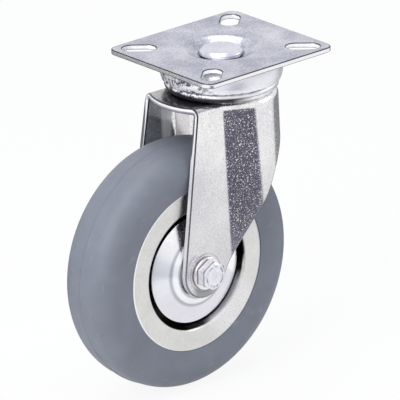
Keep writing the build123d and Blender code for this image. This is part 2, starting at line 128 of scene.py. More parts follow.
def bent_sheet(line: Array | list[Pair], bends: list[float] | tuple[float, ...] | float,
               gauge: float, edge_r: float, steps: int = 6) -> Array:
    """Closed outline of a sheet that follows a centre line.

    Each side of the sheet is the centre line moved half a gauge along its mitres, (n1 + n2) over
    (1 + n1.n2). A bend's radius grows by half a gauge on its outside and shrinks on its inside.

    Args:
        line: Corners of the centre line, as an (n, 2) array.
        bends: Radius of the centre line at each inner corner, or one for all.
        gauge: Thickness of the sheet.
        edge_r: Radius on the four corners of the cut edges.
        steps: Pieces in each arc.

    Returns:
        The outline as an (m, 2) array.
    """
    line = np.asarray(line, float)
    ahead = unit(np.diff(line, axis=0))
    left = np.stack([-ahead[:, 1], ahead[:, 0]], 1)
    first, last = np.vstack([left[:1], left]), np.vstack([left, left[-1:]])
    mitre = (first + last) / (1 + (first * last).sum(1, keepdims=True))
    turn, bend = np.zeros(len(line)), np.zeros(len(line))
    turn[1:-1] = np.sign(cross(ahead[:-1], ahead[1:]))
    bend[1:-1] = bends
    sides, side_r = [], []
    for side in (1, -1):
        radius = bend - side * turn * gauge / 2
        radius[[0, -1]] = edge_r
        sides.append((line + side * gauge / 2 * mitre)[::side])
        side_r.append(radius[::side])
    return rounded(np.vstack(sides), np.concatenate(side_r), steps)


def edge_loops(gauge: float, edge_r: float) -> list[Pair]:
    """Loops over the edge of a sheet: outer face, rounding, cut side, rounding, inner face.

    At an angle a round a rounding of radius r, the depth is r (1 - cos a) and the inset
    r (1 - sin a).

    Args:
        gauge: Thickness of the sheet.
        edge_r: Radius of the roundings.

    Returns:
        Depth below the outer face and inset from the edge, for each loop.
    """
    turn = np.linspace(0, QUARTER, ROUNDING_LOOPS)
    depth, inset = edge_r * (1 - np.cos(turn)), edge_r * (1 - np.sin(turn))
    upper = [(0.0, edge_r * HOLD_BACK), *zip(depth, inset)]
    return upper + [(gauge - d, i) for d, i in reversed(upper)]


def rolled_cut(count: int) -> Array:
    """How sheared each loop of a sheet's edge is: 0 on the faces and 1 on the cut side.

    Args:
        count: How many loops there are.

    Returns:
        The value of each loop, in their order.
    """
    cut = np.full(count, ROUNDING_CUT)
    cut[[0, -1]] = 0.0
    cut[count // 2 - 1:count // 2 + 1] = 1.0
    return cut


@dataclass(frozen=True)
class Spindle:
    """Axis that turned pieces share. Angle 0 points along `out`, and height runs along `along`."""

    centre: Triple
    along: Triple
    out: Triple

    def place(self, radius: Array, height: Array, angle: Array) -> Array:
        """Centre + height * along + radius * (cos(angle) * out + sin(angle) * (along x out)).

        Args:
            radius: Distance of each point from the axis.
            height: Its distance along the axis.
            angle: Its angle round the axis.

        Returns:
            The points, with one more dimension of 3.
        """
        side = np.cross(self.along, self.out)
        radial = np.cos(angle)[..., None] * self.out + np.sin(angle)[..., None] * side
        return self.centre + height[..., None] * np.array(self.along) + radius[..., None] * radial


AXLE_X, AXLE_Z = -31.0, -103.0
AXLE = (AXLE_X, 0.0, AXLE_Z)
SWIVEL = Spindle((0, 0, 0), (0, 0, 1), (-1, 0, 0))
NEAR_AXLE = Spindle(AXLE, (0, -1, 0), (0, 0, 1))
FAR_AXLE = Spindle(AXLE, (0, 1, 0), (0, 0, 1))


@dataclass
class Skin:
    """Points in millimetres, four-cornered faces between them, and how sheared each point is."""

    points: Array
    quads: Array
    cut: Array

    @classmethod
    def grid(cls, points: Array, wrap_rows: bool = False, wrap_columns: bool = False,
             cut: Array | float = 0.0) -> Skin:
        """Faces between the neighbours of a (rows, columns, 3) grid.

        Args:
            points: The grid of points.
            wrap_rows: Whether the last row joins the first.
            wrap_columns: Whether the last column joins the first.
            cut: 1 where the surface is a sheared edge of the sheet, for each row or for all.

        Returns:
            The skin over the grid.
        """
        rows, columns = points.shape[:2]
        edge = np.broadcast_to(np.reshape(cut, (-1, 1)), (rows, columns))
        index = np.arange(rows * columns).reshape(rows, columns)
        if wrap_rows:
            index = np.vstack([index, index[:1]])
        if wrap_columns:
            index = np.hstack([index, index[:, :1]])
        quads = np.stack([index[:-1, :-1], index[:-1, 1:], index[1:, 1:], index[1:, :-1]], -1)
        return cls(points.reshape(-1, 3), quads.reshape(-1, 4), edge.reshape(-1))

    @classmethod
    def turned(cls, profile: Array, spindle: Spindle, steps: int) -> Skin:
        """Full turn of a closed (radius, height) profile.

        Args:
            profile: The profile as an (n, 2) array.
            spindle: The axis it turns about.
            steps: Pieces in the turn.

        Returns:
            The turned skin.
        """
        angle = np.linspace(0, TAU, steps, endpoint=False)[None, :]
        radius, height = profile[:, :1], profile[:, 1:]
        shape = (len(profile), steps)
        points = spindle.place(np.broadcast_to(radius, shape), np.broadcast_to(height, shape),
                               np.broadcast_to(angle, shape))
        return cls.grid(points, wrap_rows=True, wrap_columns=True)

    def __add__(self, other: Skin) -> Skin:
        """Both skins as one."""
        return Skin(np.vstack([self.points, other.points]),
                    np.vstack([self.quads, other.quads + len(self.points)]),
                    np.concatenate([self.cut, other.cut]))

    def mirrored(self, signs: tuple[int, int, int] = (1, -1, 1)) -> Skin:
        """The same skin with one coordinate turned round, y unless told otherwise."""
        return Skin(self.points * signs, self.quads[:, ::-1], self.cut)

    def mesh(self, name: str) -> bpy.types.Mesh:
        """Mesh in metres, with doubled points welded and all faces turned outwards.

        Args:
            name: Name of the mesh.

        Returns:
            The mesh, shaded smooth between its sharp edges.
        """
        mesh = bpy.data.meshes.new(name)
        mesh.vertices.add(len(self.points))
        mesh.vertices.foreach_set("co", (self.points * MM).astype(np.float32).ravel())
        mesh.loops.add(self.quads.size)
        mesh.loops.foreach_set("vertex_index", self.quads.astype(np.int32).ravel())
        mesh.polygons.add(len(self.quads))
        mesh.polygons.foreach_set("loop_start", np.arange(0, self.quads.size, 4, dtype=np.int32))
        mesh.update(calc_edges=True)
        cut = mesh.attributes.new(CUT_EDGE, "FLOAT", "POINT")
        cut.data.foreach_set("value", self.cut.astype(np.float32))
        work = bmesh.new()
        work.from_mesh(mesh)
        bmesh.ops.remove_doubles(work, verts=work.verts, dist=WELD)
        bmesh.ops.dissolve_degenerate(work, edges=work.edges, dist=WELD)
        bmesh.ops.recalc_face_normals(work, faces=work.faces)
        work.to_mesh(mesh)
        work.free()
        mesh.polygons.foreach_set("use_smooth", np.ones(len(mesh.polygons), bool))
        mesh.set_sharp_from_angle(angle=SHARP_ANGLE)
        return mesh


# ---- finishes ------------------------------------------------------------------------------
class Body(Enum):
    """Moving bodies of the frame."""

    PLATE = "plate"
    FORK = "fork"
    WHEEL = "wheel"


class Axis(Enum):
    """Axis along which the heights of a colour patch are measured."""

    ACROSS = "Y"
    UP = "Z"


class Recipe:
    """Node tree of one finish, built from its texture nodes towards one surface shader."""

    def __init__(self, name: str) -> None:
        """Makes the material, its shader and its Object coordinates.

        Args:
            name: Name of the material.
        """
        self.material = bpy.data.materials.new(name)
        self.material.use_nodes = True
        self.tree = self.material.node_tree
        self.tree.nodes.clear()
        self.shader = self.tree.nodes.new("ShaderNodeBsdfPrincipled")
        self.output = self.tree.nodes.new("ShaderNodeOutputMaterial")
        self.tree.links.new(self.shader.outputs["BSDF"], self.output.inputs["Surface"])
        self.where = self.tree.nodes.new("ShaderNodeTexCoord").outputs["Object"]

    def fill(self, target: Socket, value: Socket | float | tuple) -> None:
        """Gives an input a value of its own, or a link from a source socket.

        Args:
            target: The input.
            value: Its value or source.
        """
        if isinstance(value, Socket):
            self.tree.links.new(value, target)
        else:
            target.default_value = value

    def node(self, kind: str, inputs: dict, **settings) -> bpy.types.Node:
        """Adds a node.

        Args:
            kind: The node's type.
            inputs: Value or source socket for each named or numbered input.
            **settings: Properties of the node.

        Returns:
            The node.
        """
        made = self.tree.nodes.new(kind)
        for key, value in settings.items():
            setattr(made, key, value)
        for key, value in inputs.items():
            self.fill(made.inputs[key], value)
        return made

    def stretched(self, scale: Triple, centre: Triple = (0, 0, 0)) -> Socket:
        """Object coordinates taken from a centre and scaled along each axis.

        Args:
            scale: Scale along each axis.
            centre: The centre, in millimetres.

        Returns:
            The coordinates, in metres.
        """
        moved = self.node("ShaderNodeVectorMath", {
            0: self.where, 1: tuple(-MM * c for c in centre)}, operation="ADD").outputs[0]
        return self.node("ShaderNodeMapping", {"Vector": moved, "Scale": scale}).outputs[0]

    def noise(self, size_mm: float, detail: float = 2.0, roughness: float = 0.5,
              where: Socket | None = None) -> Socket:
        """Noise in patches of one size.

        Args:
            size_mm: About how far across a patch is.
            detail: How many finer layers lie over it.
            roughness: How much each finer layer counts.
            where: Coordinates to read, or None for the piece's own.

        Returns:
            The noise, mostly from 0.3 to 0.7.
        """
        return self.node("ShaderNodeTexNoise", {
            "Vector": where or self.where, "Scale": 1 / (size_mm * MM), "Detail": detail,
            "Roughness": roughness}).outputs["Fac"]

    def spread(self, value: Socket, low: float, high: float, to_low: float = 0.0,
               to_high: float = 1.0) -> Socket:
        """Stretches a value from one range to another, and holds it there.

        Args:
            value: The value.
            low: Where the range that it comes from starts.
            high: Where that range ends.
            to_low: What it becomes at low.
            to_high: What it becomes at high.

        Returns:
            The stretched value.
        """
        return self.node("ShaderNodeMapRange", {
            "Value": value, "From Min": low, "From Max": high, "To Min": to_low,
            "To Max": to_high}).outputs[0]

    def times(self, a: Socket, b: Socket | float) -> Socket:
        """Product of two numbers."""
        return self.node("ShaderNodeMath", {0: a, 1: b}, operation="MULTIPLY").outputs[0]

    def plus(self, a: Socket, b: Socket | float) -> Socket:
        """Sum of two numbers."""
        return self.node("ShaderNodeMath", {0: a, 1: b}, operation="ADD").outputs[0]

    def split(self, vector: Socket) -> bpy.types.NodeOutputs:
        """The X, Y and Z of a vector."""
        return self.node("ShaderNodeSeparateXYZ", {0: vector}).outputs

    def mixed(self, share: Socket, low: Triple | Socket, high: Triple | Socket) -> Socket:
        """Colour between two colours.

        Args:
            share: 0 for the first colour, and 1 for the second.
            low: First colour.
            high: Second colour.

        Returns:
            The mixed colour.
        """
        ends = [end if isinstance(end, Socket) else (*end, 1.0) for end in (low, high)]
        return self.node("ShaderNodeMix", {"Factor": share, 6: ends[0], 7: ends[1]},
                         data_type="RGBA").outputs[2]

    def bumped(self, height: Socket, microns: float, normal: Socket | None = None) -> Socket:
        """Bends a normal.

        Args:
            height: Height of the surface, from 0 to 1.
            microns: What a height of 1 stands for, in thousandths of a millimetre.
            normal: The normal to bend, or None for the surface's own.

        Returns:
            The bent normal.
        """
        inputs = {"Height": height, "Strength": 1.0, "Distance": microns * MM * MM}
        if normal is not None:
            inputs["Normal"] = normal
        return self.node("ShaderNodeBump", inputs).outputs["Normal"]

    def set(self, **sockets) -> None:
        """Sets the shader's inputs, each to a value or to a source socket."""
        for key, value in sockets.items():
            self.fill(self.shader.inputs[key.replace("_", " ").title()], value)


def within(full: float, gone: float) -> Band:
    """Band that covers all from 0 up to `full`, and ends at `gone`."""
    return (-1.0, -0.5, full, gone)


@dataclass(frozen=True)
class ColourPatch:
    """Colour painted over a finish in a band of heights and of distances.

    Most patches are painted shade, painted shadow and painted highlights; a few are dark lines at
    joints and edges. Heights are measured along an axis through a centre, either way, and distances
    from that axis, in millimetres. The share rises from 0 to 1 between a band's first two numbers
    and falls between its last two. Speckles of a size leave part of the metal bare, and a matt
    patch also takes that share of the metal's mirror away.
    """

    heights: Band
    distances: Band
    colour: Triple
    strength: float = 1.0
    centre: Triple = AXLE
    axis: Axis = Axis.ACROSS
    speckle_mm: float = 0.0
    speckle_levels: Pair = (0.47, 0.57)
    matt: float = 0.0

    def band(self, recipe: Recipe, value: Socket, levels: Band) -> Socket:
        """Share of one band: its rise times its fall.

        Args:
            recipe: Finish that the patch lies on.
            value: Height or distance, in metres.
            levels: The band.

        Returns:
            The share.
        """
        low, rise, fall, high = levels
        up = recipe.spread(value, low * MM, rise * MM)
        down = recipe.spread(value, fall * MM, high * MM, 1, 0)
        return recipe.times(up, down)

    def share(self, recipe: Recipe) -> Socket:
        """How much the patch covers: both bands, the speckles and the strength, multiplied.

        Args:
            recipe: Finish that the patch lies on.

        Returns:
            The share, from 0 to 1.
        """
        along = recipe.split(recipe.stretched((1, 1, 1), self.centre))[self.axis.value]
        height = recipe.node("ShaderNodeMath", {0: along}, operation="ABSOLUTE").outputs[0]
        flat = tuple(float(letter != self.axis.value) for letter in "XYZ")
        across = recipe.stretched(flat, self.centre)
        away = recipe.node("ShaderNodeVectorMath", {0: across}, operation="LENGTH").outputs["Value"]
        share = recipe.times(self.band(recipe, height, self.heights),
                             self.band(recipe, away, self.distances))
        if self.speckle_mm:
            speckle = recipe.noise(self.speckle_mm, roughness=0.6)
            share = recipe.times(share, recipe.spread(speckle, *self.speckle_levels))
        return recipe.times(share, self.strength)


@dataclass(frozen=True)
class Zinc:
    """Bright zinc plating: cloudy tint, fine grain, crystals that stand proud, a slight waviness.

    The sheared edges of a sheet are duller and paler between two dark burr lines. Patches of
    painted shade, painted highlights and dark lines lie over all of it, in their order.
    """

    name: str
    slot: str
    light: Triple
    dark: Triple
    cloud_mm: float = 12.0
    cloud_part: float = 0.55
    mottle_mm: float = 1.6
    mottle_part: float = 0.45
    tint_levels: Pair = (0.4, 0.6)
    rough: float = 0.22
    rough_swing: float = 0.08
    grain_mm: float = 0.9
    grain_levels: Pair = (0.3, 0.7)
    grain_microns: float = 25.0
    crystal_levels: Pair = (0.6, 0.82)
    crystal_microns: float = 0.0
    wave_mm: float = 9.0
    wave_microns: float = 30.0
    metallic: float = 1.0
    edge: Triple = (0.90, 0.89, 0.90)
    edge_metallic: float = 0.3
    edge_rough: float = 0.5
    burr: Triple = (0.05, 0.045, 0.06)
    patches: tuple[ColourPatch, ...] = ()

    def material(self) -> bpy.types.Material:
        """Builds the material.

        Returns:
            The material.
        """
        recipe = Recipe(self.name)
        cloud = recipe.noise(self.cloud_mm, detail=4, roughness=0.6)
        cloud = recipe.times(cloud, self.cloud_part)
        mottle = recipe.noise(self.mottle_mm, detail=3, roughness=0.6)
        mottle = recipe.times(mottle, self.mottle_part)
        tint = recipe.spread(recipe.plus(cloud, mottle), *self.tint_levels)
        grain = recipe.noise(self.grain_mm, detail=3, roughness=0.7)
        wave = recipe.noise(self.wave_mm, detail=1, roughness=0.4)
        cut = recipe.node("ShaderNodeAttribute", {}, attribute_name=CUT_EDGE).outputs["Fac"]
        sheared = recipe.spread(cut, ROUNDING_CUT, 1)
        burr = recipe.times(recipe.spread(cut, 0, ROUNDING_CUT),
                            recipe.spread(cut, ROUNDING_CUT, 1, 1, 0))
        colour = recipe.mixed(sheared, recipe.mixed(tint, self.dark, self.light), self.edge)
        colour = recipe.mixed(burr, colour, self.burr)
        metallic = recipe.spread(sheared, 0, 1, self.metallic, self.edge_metallic)
        for patch in self.patches:
            share = patch.share(recipe)
            colour = recipe.mixed(share, colour, patch.colour)
            if patch.matt:
                metallic = recipe.times(metallic, recipe.spread(share, 0, 1, 1, 1 - patch.matt))
        rough = recipe.spread(grain, *self.grain_levels, self.rough - self.rough_swing,
                              self.rough + self.rough_swing)
        normal = recipe.bumped(grain, self.grain_microns, recipe.bumped(wave, self.wave_microns))
        if self.crystal_microns:
            crystal = recipe.spread(grain, *self.crystal_levels)
            normal = recipe.bumped(crystal, self.crystal_microns, normal)
        rougher = recipe.times(sheared, self.edge_rough - self.rough)
        recipe.set(base_color=colour, normal=normal, metallic=metallic,
                   roughness=recipe.plus(rough, rougher))
        return recipe.material


@dataclass(frozen=True)
class Rubber:
    """Matt grey rubber: soft cloudiness, a fine skin, and pale scuffs that run round the wheel."""

    name: str = "grey_rubber"
    slot: str = "tyre_rubber"
    light: Triple = (0.206, 0.221, 0.262)
    dark: Triple = (0.182, 0.196, 0.234)
    cloud_mm: float = 14.0
    cloud_levels: Pair = (0.35, 0.65)
    scuff: Triple = (0.32, 0.35, 0.39)
    scuff_mm: float = 1.0
    scuff_stretch: Triple = (0.1, 0.8, 0.1)
    scuff_levels: Pair = (0.66, 0.76)
    scuff_strength: float = 0.35
    skin_mm: float = 0.8
    skin_levels: Pair = (0.3, 0.7)
    skin_microns: float = 12.0
    rough_range: Pair = (0.44, 0.6)

    def material(self) -> bpy.types.Material:
        """Builds the material.

        Returns:
            The material.
        """
        recipe = Recipe(self.name)
        cloud = recipe.noise(self.cloud_mm, detail=5, roughness=0.6)
        cloud = recipe.spread(cloud, *self.cloud_levels)
        skin = recipe.noise(self.skin_mm, detail=3, roughness=0.6)
        streak = recipe.noise(self.scuff_mm, where=recipe.stretched(self.scuff_stretch))
        scuffs = recipe.spread(streak, *self.scuff_levels, 0, self.scuff_strength)
        colour = recipe.mixed(scuffs, recipe.mixed(cloud, self.dark, self.light), self.scuff)
        recipe.set(base_color=colour,
                   roughness=recipe.spread(skin, *self.skin_levels, *self.rough_range),
                   normal=recipe.bumped(skin, self.skin_microns))
        return recipe.material


@dataclass(frozen=True)
class Plain:
    """Moulded plastic or ground steel: one colour with a faint cloud and a fine surface."""

    name: str
    light: Triple
    dark: Triple
    rough: float
    metallic: float = 0.0
    grain_microns: float = 4.0
    grain_mm: float = 0.3
    grain_levels: Pair = (0.3, 0.7)
    rough_swing: float = 0.05
    cloud_mm: float = 5.0
    cloud_levels: Pair = (0.35, 0.65)

    def material(self) -> bpy.types.Material:
        """Builds the material.

        Returns:
            The material.
        """
        recipe = Recipe(self.name)
        cloud = recipe.spread(recipe.noise(self.cloud_mm, detail=3), *self.cloud_levels)
        grain = recipe.noise(self.grain_mm)
        rough = recipe.spread(grain, *self.grain_levels, self.rough - self.rough_swing,
                              self.rough + self.rough_swing)
        recipe.set(base_color=recipe.mixed(cloud, self.dark, self.light), metallic=self.metallic,
                   roughness=rough, normal=recipe.bumped(grain, self.grain_microns))
        return recipe.material


SHADE_BLACK = (0.02, 0.018, 0.018)
GAP_SHADE = (0.08, 0.075, 0.10)
LINE_BLACK = (0.03, 0.03, 0.04)
LINE_GREY = (0.30, 0.29, 0.34)
GUARD_BAND = (14.0, 14.5, 19.0, 20.0)
GUARD_AND_EDGE_BAND = (12.0, 12.5, 19.0, 20.0)
FLANGE_BAND = (13.0, 13.5, 17.0, 18.0)
EVERYWHERE = within(20.0, 21.0)     # out from the axle: past the bolt, nut and washers

# On the plate and the kingpin: painted glints on the slot walls, painted shade round the pin's
# head.
SLOT_GLINTS = tuple(
    ColourPatch(within(0.7, 0.95), within(8.6, 9.4), (0.99, 0.99, 1.0), 0.95, centre=(x, y, -1.25),
         axis=Axis.UP, matt=0.9) for x in (-29.5, 29.5) for y in (-26.5, 26.5))
# Painted shade in the gap round the pin's head: on the dish floor and on the head's foot.
PIN_GAP = ColourPatch(within(1.2, 1.6), (9.0, 9.6, 11.3, 12.0), GAP_SHADE, 0.8, centre=(0.0, 0.0, -3.2),
               axis=Axis.UP)
PIN_FOOT = ColourPatch(within(0.4, 0.9), (9.0, 10.0, 12.0, 13.0), GAP_SHADE, 0.85, centre=(0.0, 0.0, -3.4),
                axis=Axis.UP)

# On the race housing and the dust ring: specks on the trailing side, and the dark joint.
RING_SPECKS = ColourPatch(within(60.0, 61.0), (60.0, 68.0, 99.0, 100.0), (0.06, 0.06, 0.10), 0.95,
                   centre=(40.0, -20.0, 0.0), axis=Axis.UP, speckle_mm=2.2)
RING_GAP = ColourPatch(within(0.3, 0.6), within(60.0, 61.0), (0.06, 0.055, 0.07), 0.9,
                centre=(0.0, 0.0, -14.45), axis=Axis.UP, speckle_mm=2.2)
RING_SHADE = ColourPatch(within(3.6, 4.8), within(51.0, 60.0), (0.03, 0.028, 0.034),
                  centre=(-40.0, 20.0, -21.0), axis=Axis.UP)

# On the fork: painted shade on the flat of the crown, the lower part of its front cut edge darker,
# painted shade along the front edge of each leg, a painted sheen inside the far leg, painted shade
# that deepens towards the axle, a painted shadow below the seat, and a dark line round the seat.
# Painted shade on the crown's flat under the ring.
CROWN_SHADE = ColourPatch(within(0.12, 0.4), (-30.0, 18.0, 50.0, 60.0), (0.12, 0.115, 0.14), 0.70,
                  centre=(-40.0, 20.0, -19.7), axis=Axis.UP)
# The lower part of the crown's front cut edge, darker.
CROWN_EDGE_DARKER = ColourPatch(within(0.9, 1.3), within(18.0, 20.0), (0.22, 0.21, 0.25), 0.8,
                  centre=(-40.0, 0.0, -22.4), axis=Axis.UP)
# Painted shade: a black line along the front edge of each leg.
LEG_LINE = ColourPatch(within(9.0, 12.0), within(3.4, 3.8), LINE_BLACK, 0.9,
                centre=(-34.4, -14.4, -33.0), axis=Axis.UP)
FAR_LEG_LINE = ColourPatch(within(15.0, 18.0), within(3.3, 3.6), LINE_BLACK, 0.9,
                    centre=(-35.2, 21.0, -37.0), axis=Axis.UP)
INNER_SHEEN = ColourPatch(within(12.0, 16.0), within(3.8, 5.2), (0.96, 0.95, 0.97), 0.9,
                   centre=(-21.0, 13.6, -34.0), axis=Axis.UP, matt=0.8)
# Painted shade that deepens down the fork towards the axle.
LEG_LOW_SHADE = ColourPatch(within(5.0, 75.0), within(90.0, 91.0), (0.42, 0.42, 0.46), 0.5,
                centre=(0.0, 0.0, AXLE_Z), axis=Axis.UP)
# Painted shadow of the washer on the leg below the seat.
SEAT_SHADOW = ColourPatch((18.8, 19.0, 22.2, 23.0), within(4.5, 8.0), (0.24, 0.245, 0.235), 0.75,
                  centre=(AXLE_X - 1.0, 0.0, AXLE_Z - 8.5), matt=0.5)
SEAT_LINE = ColourPatch((20.0, 20.3, 22.2, 23.0), (9.1, 9.4, 9.8, 10.1), (0.12, 0.11, 0.13), 0.3)

# On the bolt, the nut and the washers: dark joints, a ring on the head's face, and the line where
# its chamfer meets the flats.
HEAD_FOOT = ColourPatch((22.0, 22.5, 23.3, 23.8), EVERYWHERE, (0.08, 0.07, 0.09), 0.85)
HEAD_RING = ColourPatch((28.0, 28.2, 34.0, 35.0), (4.5, 4.9, 5.3, 5.8), (0.16, 0.15, 0.18), 0.8,
                 speckle_mm=1.2)
HEAD_SCALLOP = ColourPatch((27.0, 27.3, 27.7, 28.0), EVERYWHERE, (0.12, 0.11, 0.13), 0.7)
WASHER_FOOT = ColourPatch((20.5, 21.0, 21.9, 22.3), EVERYWHERE, (0.10, 0.09, 0.11), 0.8)

# On the guards: painted shade on the lower part, a painted highlight towards -X, and a painted
# glint on the step between two lines.
# Painted shade: the lower part of the guard greyer.
GUARD_LOW_SHADE = ColourPatch(GUARD_AND_EDGE_BAND, within(38.0, 39.5), (0.66, 0.65, 0.73), 0.6,
                   centre=(AXLE_X - 3.0, 0.0, AXLE_Z - 36.0))
# Painted highlight: a matt pale place towards -X.
GUARD_HIGHLIGHT = ColourPatch(GUARD_AND_EDGE_BAND, within(8.0, 16.0), (0.92, 0.91, 0.94), 0.9,
                  centre=(AXLE_X - 22.0, 0.0, AXLE_Z + 3.0), matt=0.75)
STEP_GLINT = ColourPatch(GUARD_BAND, (14.2, 14.7, 16.4, 16.9), (1.0, 1.0, 1.0), 0.9, matt=0.6)
BOSS_LINE = ColourPatch(GUARD_BAND, (12.8, 13.2, 13.8, 14.3), LINE_GREY, 0.6)
STEP_LINE = ColourPatch(GUARD_BAND, (16.8, 17.4, 18.0, 19.2), LINE_GREY, 0.6)

# On the rim: painted shade in the well, painted light low on its wall, and on the flange's outer
# edge a painted highlight on one side and a dark line on the other.
# Painted shade in the well: off-centre near its mouth, and all round deep down.
GROOVE_SHADE = ColourPatch(within(14.9, 15.35), within(40.0, 41.2), SHADE_BLACK,
                   centre=(AXLE_X - 8.0, 0.0, AXLE_Z + 9.9))
WELL_SHADE = ColourPatch(within(8.5, 10.5), within(33.0, 34.0), SHADE_BLACK)
# Painted light: a matt pale patch low on the well's wall.
WELL_GLOW = ColourPatch((11.0, 11.6, 15.25, 15.5), within(11.0, 17.0), (0.98, 0.96, 0.96),
                 centre=(AXLE_X + 20.5, 0.0, AXLE_Z - 22.7), matt=0.9)
# Painted highlight on one side of the flange's outer edge, and a dark line on the other.
RIM_GLINT = ColourPatch(FLANGE_BAND, (41.2, 41.7, 60.0, 61.0), (0.98, 0.97, 0.97), 0.95,
                 centre=(AXLE_X + 1.0, 0.0, AXLE_Z))
RIM_LINE = ColourPatch(FLANGE_BAND, (41.4, 41.9, 60.0, 61.0), (0.20, 0.19, 0.26), 0.7,
                centre=(AXLE_X - 1.0, 0.0, AXLE_Z))

RACE_ZINC = Zinc("race_zinc", "race_zinc", (0.99, 0.98, 0.99), (0.93, 0.92, 0.96), cloud_mm=5.0,
                 rough=0.34, metallic=0.5, patches=(RING_SPECKS, RING_GAP))


@dataclass(frozen=True)
class FinishBook:
    """Every finish of the castor, each made once."""

    plate: Zinc = Zinc("plate_zinc", "plate_zinc", (0.65, 0.655, 0.735), (0.33, 0.34, 0.43),
                       cloud_mm=20.0, mottle_mm=1.1, grain_microns=45.0, edge_metallic=0.95,
                       edge_rough=0.24, patches=(PIN_GAP, *SLOT_GLINTS))
    race: Zinc = RACE_ZINC
    dust: Zinc = replace(RACE_ZINC, name="dust_ring_zinc", patches=(*RACE_ZINC.patches, RING_SHADE))
    pin: Zinc = Zinc("pin_zinc", "pin_zinc", (0.72, 0.72, 0.81), (0.60, 0.60, 0.69),
                     patches=(PIN_FOOT,))
    fork: Zinc = Zinc("fork_zinc", "fork_zinc", (0.99, 0.97, 0.96), (0.72, 0.715, 0.74),
                      rough=0.15, rough_swing=0.04, cloud_mm=30.0, mottle_mm=0.9, grain_mm=0.7,
                      crystal_microns=140.0, wave_mm=8.0, wave_microns=28.0,
                      patches=(CROWN_SHADE, CROWN_EDGE_DARKER, LEG_LINE, FAR_LEG_LINE, INNER_SHEEN,
                             LEG_LOW_SHADE, SEAT_SHADOW, SEAT_LINE))
    bolt: Zinc = Zinc("bolt_zinc", "bolt_zinc", (0.90, 0.89, 0.92), (0.74, 0.73, 0.80),
                      cloud_mm=4.0, grain_microns=12.0, metallic=0.6,
                      patches=(HEAD_FOOT, HEAD_RING, HEAD_SCALLOP))
    washer: Zinc = Zinc("washer_zinc", "bolt_zinc", (0.88, 0.86, 0.86), (0.76, 0.74, 0.76),
                        grain_microns=12.0, patches=(WASHER_FOOT,))
    guard: Zinc = Zinc("guard_zinc", "guard_zinc", (0.98, 0.97, 0.98), (0.90, 0.89, 0.93),
                       rough=0.16, grain_microns=8.0,
                       patches=(GUARD_LOW_SHADE, GUARD_HIGHLIGHT, STEP_GLINT, BOSS_LINE, STEP_LINE))
    rim: Zinc = Zinc("rim_zinc", "rim_zinc", (0.74, 0.735, 0.725), (0.67, 0.665, 0.655),
                     rough=0.32, grain_microns=12.0,
                     patches=(GROOVE_SHADE, WELL_SHADE, WELL_GLOW, RIM_GLINT, RIM_LINE))
    rubber: Rubber = Rubber()
    ball: Plain = Plain("ball_steel", (0.72, 0.72, 0.74), (0.68, 0.68, 0.70), 0.12, 1.0, 0.0)
    inner: Plain = Plain("inner_steel", (0.64, 0.64, 0.65), (0.54, 0.54, 0.56), 0.32, 1.0)
    nylon: Plain = Plain("insert_nylon", (0.86, 0.86, 0.80), (0.80, 0.80, 0.74), 0.45)
    cage: Plain = Plain("cage_plastic", (0.06, 0.06, 0.065), (0.04, 0.04, 0.045), 0.5)
    made: dict[str, bpy.types.Material] = field(default_factory=dict)

    def material(self, finish: Zinc | Rubber | Plain) -> bpy.types.Material:
        """The material of a finish, made at its first use.

        Args:
            finish: The finish.

        Returns:
            Its material.
        """
        if finish.name not in self.made:
            self.made[finish.name] = finish.material()
        return self.made[finish.name]

    def dress_node(self, name: str, finish: Zinc | Plain) -> None:
        """Gives a node of the frame its material in place of the imported one.

        Args:
            name: Name of the node.
            finish: Its finish.
        """
        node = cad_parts[name]
        for material_slot in node.material_slots:
            material_slot.material = self.material(finish)
        if not node.material_slots:
            node.data.materials.append(self.material(finish))
        LOG.info("node %s: %s", name, finish.name)

    def piece(self, name: str, skin: Skin, finish: Zinc | Rubber, body: Body,
              *nodes: str) -> None:
        """Makes a piece from a skin, dresses it and puts it on its body.

        Args:
            name: Name of the piece.
            skin: Its surface.
            finish: Its finish.
            body: Body that it rides on.
            *nodes: Nodes of the frame that it stands for.
        """
        piece = bpy.data.objects.new(name, skin.mesh(name))
        bpy.context.scene.collection.objects.link(piece)
        piece.data.materials.append(self.material(finish))
        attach(piece, body.value)
        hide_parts(*nodes)
        LOG.info("piece %s: %d faces, rides on %s", name, len(piece.data.polygons), body.value)


